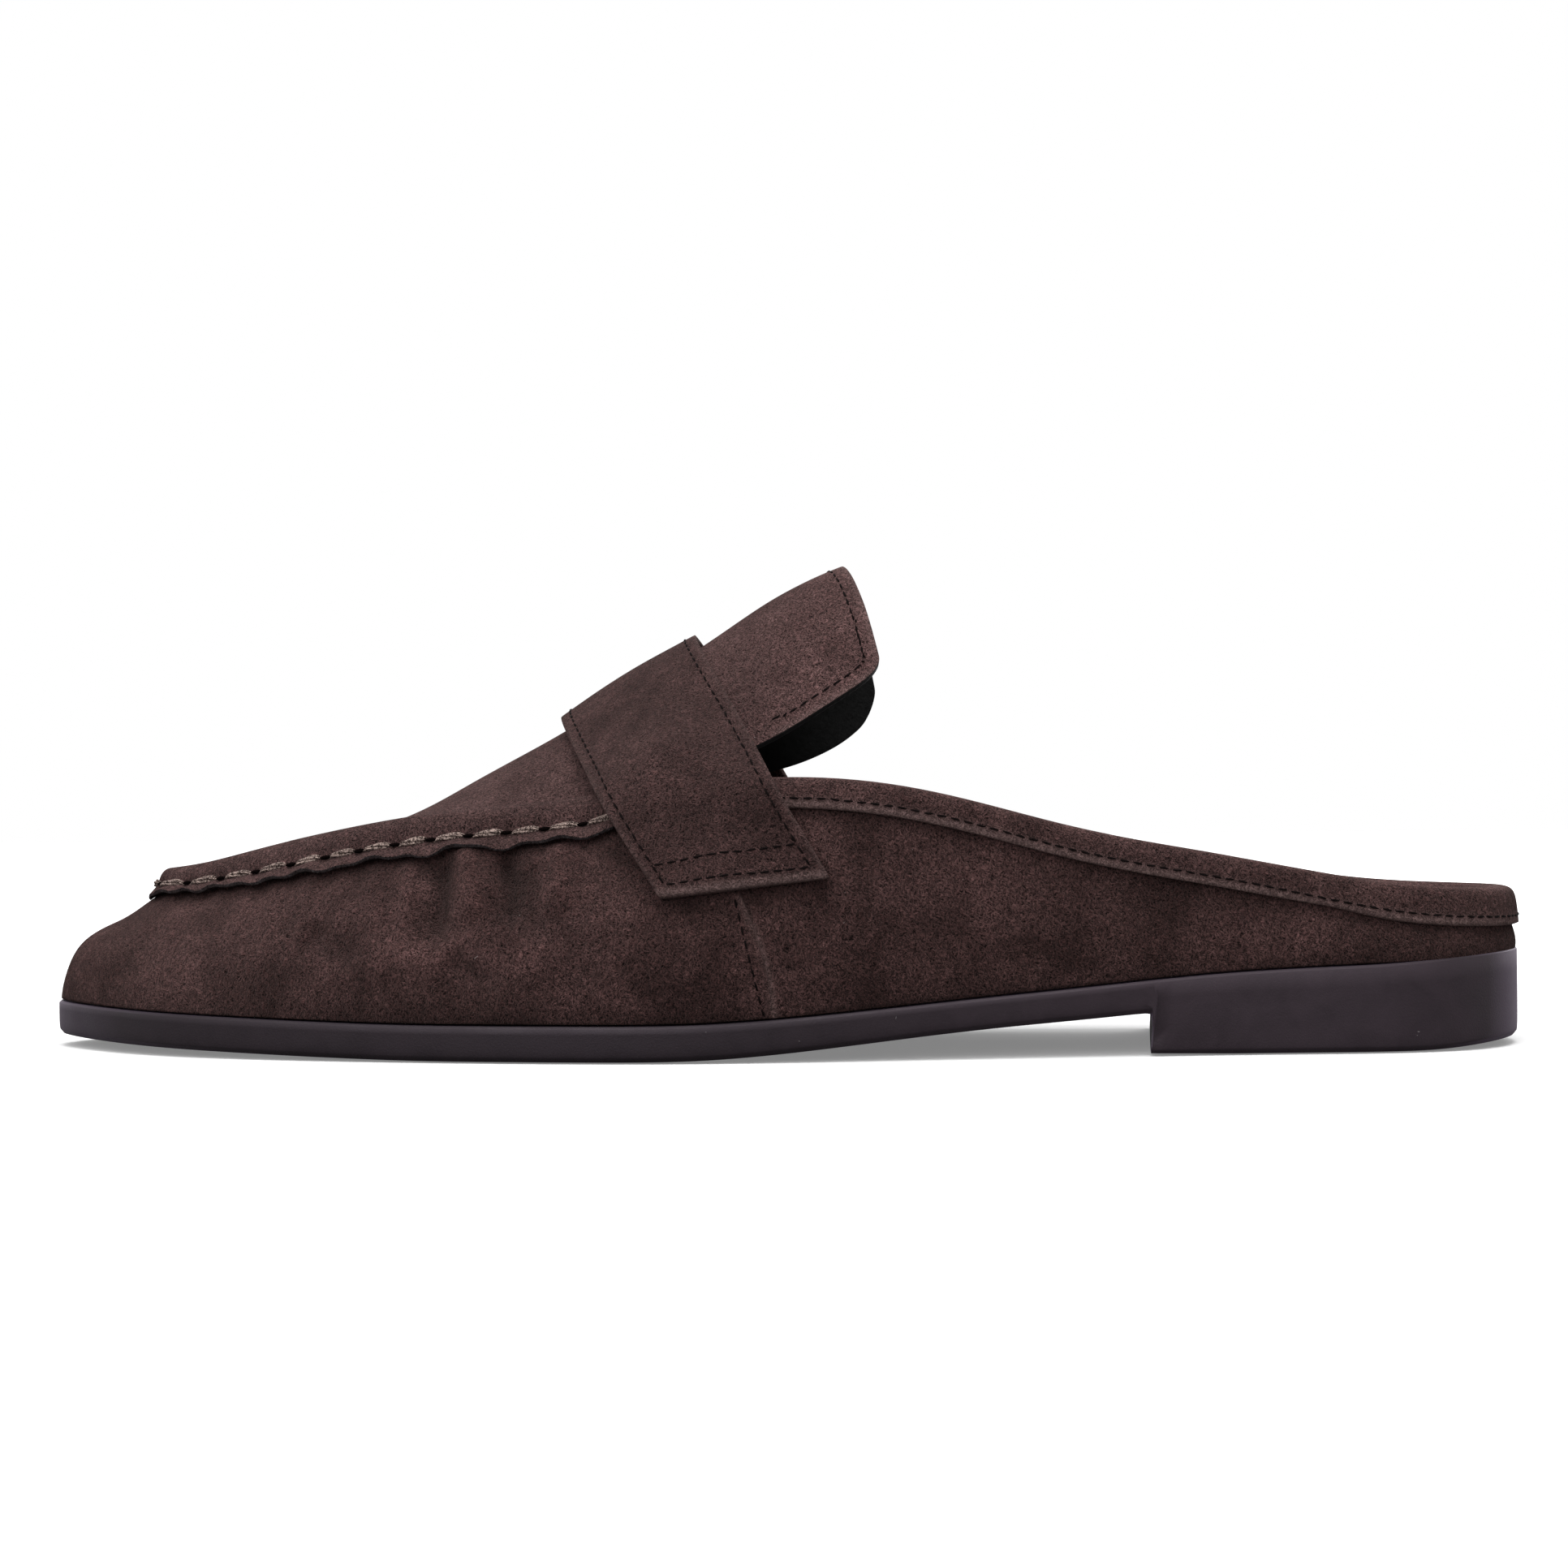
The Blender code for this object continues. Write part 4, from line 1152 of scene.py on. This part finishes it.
def model_stitch(length):
    """A twisted, bowed stitch of a few plies, centred on the origin."""
    turns = [2 * math.pi * index / PLIES for index in range(PLIES)]
    offsets = [Vector((0, PLY_WIDE * math.cos(turn), PLY_HIGH * math.sin(turn))) for turn in turns]
    places = [Matrix.Translation(offset * THREAD * PLY_OUT) for offset in offsets]
    stitch = lay_copies(model_ply(length), places, "one_stitch", SEAM_THREAD)
    twist = stitch.modifiers.new("twist", "SIMPLE_DEFORM")
    twist.deform_method, twist.deform_axis, twist.angle = "TWIST", "X", PLY_TWIST
    bpy.ops.object.modifier_apply(modifier=twist.name)
    for corner in stitch.data.vertices:
        share = 2 * corner.co.x / length
        corner.co.z -= BOW * share**4
        corner.co.y *= 1 - (LEADING_TAPER if share > 0 else TRAILING_TAPER) * share * share
    bpy.ops.object.shade_smooth()
    return stitch


# %% [markdown]
# ## Sewing the seam
# The stitch is copied to every place on the seam, turned along the groove and a little varied in
# length and tilt as a hand would. Between two stitches, where the thread goes down into the hole the
# awl left, a small near-black bead lies in the groove as painted shade.

# %% Sewing
random.seed(7)
STITCH_SHARE = 0.86
LIFT, HOLE_SHADOW_LIFT = 0.00030, 0.00005
TILT, TILT_SWAY = math.radians(5), 0.06
LENGTH_VARIES, WIDTH_VARIES = (0.95, 1.05), (0.95, 1.1)
NEARLY_HALF = 0.4
GROOVE_REACH = 0.0013
HOLE_SHADOW_HALF_SIZES = (0.0011, 0.00034, 0.00034)


def seam_normal(surface, point):
    """The direction in which the groove opens: the mean of the surface around it."""
    total = Vector()
    for _, normal, _, _ in surface.find_nearest_range(point, GROOVE_REACH):
        total += normal
    return total.normalized() if total.length else Vector((0, 0, 1))


def sew_seam():
    """Where each stitch of the seam lies, and each dark bead of painted shade at its holes."""
    surface = surface_of(apron)
    stitches, shadow_places = [], []
    for place in stitch_places:
        here = tip_reach + place
        pitch = pitch_at(abs(place))
        half = pitch * NEARLY_HALF
        before, point, after = points_at(seam, [here - half, here, here + half])
        up = seam_normal(surface, point)
        tilt = Matrix.Rotation(TILT + random.uniform(-TILT_SWAY, TILT_SWAY), 4, "Z")
        length = pitch / SIDE_PITCH * random.uniform(*LENGTH_VARIES)
        size = Matrix.Diagonal((length, random.uniform(*WIDTH_VARIES), 1.0, 1.0))
        stitches.append(lie(point + up * LIFT, after - before, up) @ tilt @ size)
        gap = points_at(seam, [here + pitch / 2])[0]
        shadow_places.append(lie(gap + seam_normal(surface, gap) * HOLE_SHADOW_LIFT, after - before, up))
    return stitches, shadow_places


stitch_matrices, hole_shadow_matrices = sew_seam()
one_stitch = model_stitch(SIDE_PITCH * STITCH_SHARE)
seam_stitches = lay_copies(one_stitch, stitch_matrices, "seam_stitches", SEAM_THREAD)
# The dark beads at the holes are painted shade.
one_hole_shadow = model_bead(12, 8, HOLE_SHADOW_HALF_SIZES)
hole_shadows = lay_copies(one_hole_shadow, hole_shadow_matrices[:-1], "hole_shadows", HOLE_SHADE)

# %% [markdown]
# ## Machine stitching
# The strap, the tongue, the binding and the side seams are stitched by machine with fine dark
# thread, two and a quarter millimetres to the stitch. In nap this thread shows as short sunken
# dashes. A row is a line of points on a surface; each dash is a slim spindle laid between two
# neighbouring points and pressed into the suede.

# %% Rows of machine stitches
MACHINE_PITCH = 0.00225
ABOVE, PROUD = 0.0012, 0.00003
SWAY = 0.10
machine_rows = []


def stitch_along(points, surface):
    """Snaps a row to a surface and notes where each of its stitches lies."""
    length = travelled(points)[-1]
    count = max(2, round(length / MACHINE_PITCH))
    even = points_at(points, np.linspace(0, length, count + 1))
    for first, second in zip(even, even[1:]):
        middle = (first + second) / 2
        up = surface.find_nearest(middle)[1]
        if up.dot(outward(middle)) < 0:
            up = outward(middle)
        place, normal, _, _ = surface.find_nearest(middle + up * ABOVE)
        sway = Matrix.Rotation(random.uniform(-SWAY, SWAY), 4, "Z")
        machine_rows.append(lie(place + normal * PROUD, second - first, normal) @ sway)


# %% [markdown]
# The strap has a row just inside each long side and a narrow box of stitches at each end, which
# holds it to the upper. The rows are found between its two long sides, front and rear, which are
# made to run the same way, from the near end to the far one.

# %% Strap rows
STRAP_INSET, BOX_LOW, BOX_HIGH = 0.0021, 0.0017, 0.0063
ALONG_STRAP, ACROSS_STRAP = 120, 12


def between(first, second, share):
    """The row that lies at a share of the way from one row to another."""
    return [a.lerp(b, share) for a, b in zip(first, second)]


def strap_grid(surface):
    """Stitches the strap: a row inside each long side and a box at each end."""
    long_sides = [side if side[0].y < side[-1].y else side[::-1] for side in strap_sides[-2:]]
    long_sides.sort(key=lambda side: sum(point.x for point in side) / len(side))
    front, rear = (
        points_at(side, np.linspace(0, travelled(side)[-1], ALONG_STRAP)) for side in long_sides
    )
    width = sum((a - b).length for a, b in zip(front, rear)) / ALONG_STRAP
    length = travelled(between(front, rear, 0.5))[-1]
    step = length / (ALONG_STRAP - 1)
    inset = STRAP_INSET / width
    low, high = round(BOX_LOW / step), round(BOX_HIGH / step)
    for share in (inset, 1 - inset):
        stitch_along(between(front, rear, share)[low : ALONG_STRAP - low], surface)
    for row in (low, high, -1 - low, -1 - high):
        shares = np.linspace(inset, 1 - inset, ACROSS_STRAP)
        stitch_along([front[row].lerp(rear[row], share) for share in shares], surface)
    print("strap", round(width / MM, 1), "mm wide,", round(length / MM), "mm long")


strap_grid(surface_of(strap))

# %% [markdown]
# ## Insets from an edge
# Elsewhere a row keeps its distance from one edge only. From each point of the edge the row steps
# inwards along the surface, square to the edge, and the nearest point of the surface is taken. The
# edge itself is read from a fresh copy of the piece, because rounding has blunted it. On the
# binding there are two such edges, and the outer one is the longer.

# %% Tongue and binding rows
TONGUE_INSET, TONGUE_FROM_X, TONGUE_FACES_OUT = 0.0026, -0.004, 0.5
BINDING_INSET, LOOKS_DOWN = 0.0014, -0.6
WELL_INSIDE = 1.5
ABOVE_SHOE = Vector((0.05, 0, 1))


def inset_row(run, surface, inset, towards, count=160):
    """A row on the surface, at a distance inside an edge, on the side towards a point."""
    points = points_at(run, np.linspace(0, travelled(run)[-1], count))
    row = []
    for index, point in enumerate(points):
        along = points[min(index + 1, count - 1)] - points[max(index - 1, 0)]
        inside = point + (towards - point).normalized() * inset * WELL_INSIDE
        up = surface.find_nearest(inside + outward(point) * ABOVE)[1]
        side = up.cross(along).normalized() * inset
        if side.dot(towards - point) < 0:
            side.negate()
        row.append(surface.find_nearest(point + side + up * ABOVE / 2)[0])
    return row


def longest_edge(node, wanted):
    """The longest run of the edges of a CAD piece that pass a test."""
    base = welded_copy(node)
    runs = sorted(runs_of(base, wanted), key=lambda run: -travelled(run)[-1])
    bpy.data.objects.remove(base)
    print(node, "edge runs in mm", [round(travelled(run)[-1] / MM) for run in runs[:4]])
    return runs[0]


def is_tongue_edge(edge):
    """An outer edge behind the strap."""
    behind = min(corner.co.x for corner in edge.verts) > TONGUE_FROM_X
    return behind and is_outer_edge(edge, TONGUE_FACES_OUT)


def is_low_edge(edge):
    """An outer edge whose other face looks down."""
    return is_outer_edge(edge) and min(face.normal.z for face in edge.link_faces) < LOOKS_DOWN


tongue_edge = longest_edge("apron_tongue", is_tongue_edge)
tongue_middle = sum(tongue_edge, Vector()) / len(tongue_edge)
apron_surface = surface_of(apron)
tongue_row = inset_row(tongue_edge, apron_surface, TONGUE_INSET, tongue_middle)
stitch_along(tongue_row, apron_surface)

binding_edge = longest_edge("collar_binding", is_low_edge)
binding_surface = surface_of(binding)
binding_row = inset_row(binding_edge, binding_surface, BINDING_INSET, ABOVE_SHOE)
stitch_along(binding_row, binding_surface)

# %% [markdown]
# At each side seam the vamp ends in a cut lip that lies over the quarter, with one row of stitches
# in front of it. Both run down the side as straight lines laid on the upper's surface.

# %% Side seams
SEAM_TOP, SEAM_FOOT = (-0.0047, 0.0275), (0.0003, 0.0066)
SEAM_ASIDE, SEAM_LIP = 0.0400, 0.0018
ROW_POINTS, LIP_POINTS = 12, 30
DASH_HALF_SIZES = (0.0009, 0.00021, 0.000168)
upper_surface = surface_of(upper)


def down_the_side(side, count, behind=0.0):
    """Points on the upper down one side seam, or at a distance behind it."""
    top, foot = (Vector((x + behind, side * SEAM_ASIDE, z)) for x, z in (SEAM_TOP, SEAM_FOOT))
    shares = np.linspace(0, 1, count)
    return [upper_surface.find_nearest(top.lerp(foot, share))[0] for share in shares]


seam_lips = [down_the_side(side, LIP_POINTS, SEAM_LIP) for side in (-1, 1)]
for side in (-1, 1):
    stitch_along(down_the_side(side, ROW_POINTS), upper_surface)

one_dash = model_bead(6, 5, DASH_HALF_SIZES)
machine_stitches = lay_copies(one_dash, machine_rows, "machine_stitches", MACHINE_THREAD)

# %% [markdown]
# ## Fuzz on the cut edges
# A cut edge of suede is paler than its face, because the dye stays near the surface and the fibres
# open up. The edges found above are painted into the rubbed attribute. The strap's two short ends
# are raw and get the most; its long sides are folded and get little.

# %% Painting the cut edges
paint_rubbed(strap, [strap_ring], width=0.0007, strength=0.25)
paint_rubbed(strap, strap_sides[:2], width=0.0011, strength=1.0)
paint_rubbed(binding, [binding_edge], width=0.0012, strength=1.0)
paint_rubbed(apron, [tongue_edge], width=0.0010, strength=0.5)
paint_rubbed(upper, seam_lips, width=0.0006, strength=0.45)
print("rubbed:", [piece.name for piece in (strap, binding, apron, upper)])

# %% [markdown]
# ## The floor
# The shoe stands on a plain white floor. Close to the shoe the floor takes its shadow; further out
# it glows, so that it runs into the white room without a line. It looks white to the camera only:
# to the shoe it is a dim grey, because a bright floor would light the sole from below.

# %% Floor
GLOW_FROM, GLOW_TO, GLOW_NEAR, GLOW_FAR = 0.3, 1.0, 0.22, 1.0
FLOOR_WHITE, FLOOR_DIM = (0.9, 0.9, 0.9, 1), (0.22, 0.22, 0.22, 1)

bpy.ops.object.select_all(action="DESELECT")
bpy.ops.mesh.primitive_plane_add(size=8.0, location=(0, 0, 0))
floor = bpy.context.active_object
floor.name = "floor"

floor_white, tree, shader, place = new_material("white_floor")
reach = node(tree, "VectorMath", {0: place}, operation="LENGTH").outputs["Value"]
glow = stretched(tree, reach, GLOW_FROM, GLOW_TO, GLOW_NEAR, GLOW_FAR)
dress(tree, shader, Base_Color=FLOOR_WHITE, Roughness=0.9, Specular_IOR_Level=0.1)
dress(tree, shader, Emission_Color=(1, 1, 1, 1), Emission_Strength=glow)
ray = node(tree, "LightPath")
dim = node(tree, "BsdfDiffuse", {"Color": FLOOR_DIM})
by_ray = {0: ray.outputs["Is Camera Ray"], 1: dim.outputs[0], 2: shader.outputs[0]}
seen = node(tree, "MixShader", by_ray)
tree.links.new(seen.outputs[0], tree.nodes["Material Output"].inputs["Surface"])
floor.data.materials.append(floor_white)
print("floor", round(floor.dimensions.x), "m wide")

# %% [markdown]
# ## Room and lamps
# The room is white to the camera, fairly bright in reflections, and only softly bright as a light,
# so that three square lamps can shape the leather: a large one overhead, a weaker one in front
# that opens up the side, and one behind for the far edges.

# %% Studio
ROOM_LIGHT, ROOM_IN_GLOSS = 0.28, 0.9
SHOE_MIDDLE = (0, 0, 0.03)
LAMPS = (
    # name, place, size, power
    ("overhead_softbox", (-0.06, -0.22, 0.95), 0.9, 11.0),
    ("front_softbox", (-0.35, -0.95, 0.50), 0.7, 4.4),
    ("rear_softbox", (0.45, 0.95, 0.60), 0.8, 6.0),
)

scene = bpy.context.scene
scene.view_settings.view_transform = "Standard"
scene.view_settings.look = "None"
world = bpy.data.worlds.new("white_studio")
scene.world = world
world.use_nodes = True
sky = world.node_tree
ray = node(sky, "LightPath")
brightness = stretched(sky, ray.outputs["Is Glossy Ray"], 0, 1, ROOM_LIGHT, ROOM_IN_GLOSS)
brightness = maths(sky, "MAXIMUM", brightness, ray.outputs["Is Camera Ray"])
dress(sky, sky.nodes["Background"], Color=(1, 1, 1, 1), Strength=brightness)


def softbox(name, place, size, power):
    """A square lamp that looks at the middle of the shoe."""
    bpy.ops.object.light_add(type="AREA", location=place)
    lamp = bpy.context.active_object
    lamp.name = name
    lamp.data.shape = "SQUARE"
    lamp.data.size = size
    lamp.data.energy = power
    away = Vector(place) - Vector(SHOE_MIDDLE)
    lamp.rotation_euler = away.to_track_quat("Z", "Y").to_euler()
    print(name, power, "W")


for name, place, size, power in LAMPS:
    softbox(name, place, size, power)

# %% [markdown]
# ## The camera
# The camera stands half a metre from the shoe, almost square to its side, at the height of the
# instep, with a very slight turn and roll.

# %% Camera
CAMERA_AIM = Vector((0.00194, 0.00072, 0.0413))
CAMERA_DISTANCE = 0.490
CAMERA_YAW, CAMERA_PITCH, CAMERA_ROLL = (math.radians(angle) for angle in (2.5, 0.578, 0.5))
LENS, SENSOR = 62.83, 36.0

bpy.ops.object.camera_add()
camera = bpy.context.active_object
camera.name = "camera"
ahead = Vector((-math.sin(CAMERA_YAW), math.cos(CAMERA_YAW), 0))
camera.location = CAMERA_AIM - ahead * CAMERA_DISTANCE
upright = Euler((math.pi / 2 + CAMERA_PITCH, 0, CAMERA_YAW)).to_matrix()
camera.rotation_euler = (upright @ Matrix.Rotation(-CAMERA_ROLL, 3, "Z")).to_euler()
camera.data.lens = LENS
camera.data.sensor_width = SENSOR
camera.data.clip_start, camera.data.clip_end = 0.01, 20
scene.camera = camera
print("camera at", [round(value, 3) for value in camera.location])

# %% [markdown]
# ## Attaching the pieces
# Every piece rides on the shoe's one body, and the CAD piece that it stands for is hidden.

# %% Pieces on the body
for piece, slot, stands_for in (
    (sole, "rubber", "outsole"),
    (sock, "sock", "insole"),
    (upper, "suede", "upper"),
    (apron, "suede", "apron_tongue"),
    (strap, "suede", "strap"),
    (binding, "suede", "collar_binding"),
    (seam_stitches, "suede", None),
    (hole_shadows, "suede", None),
    (machine_stitches, "suede", None),
):
    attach(piece, "root")
    if stands_for:
        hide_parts(stands_for)
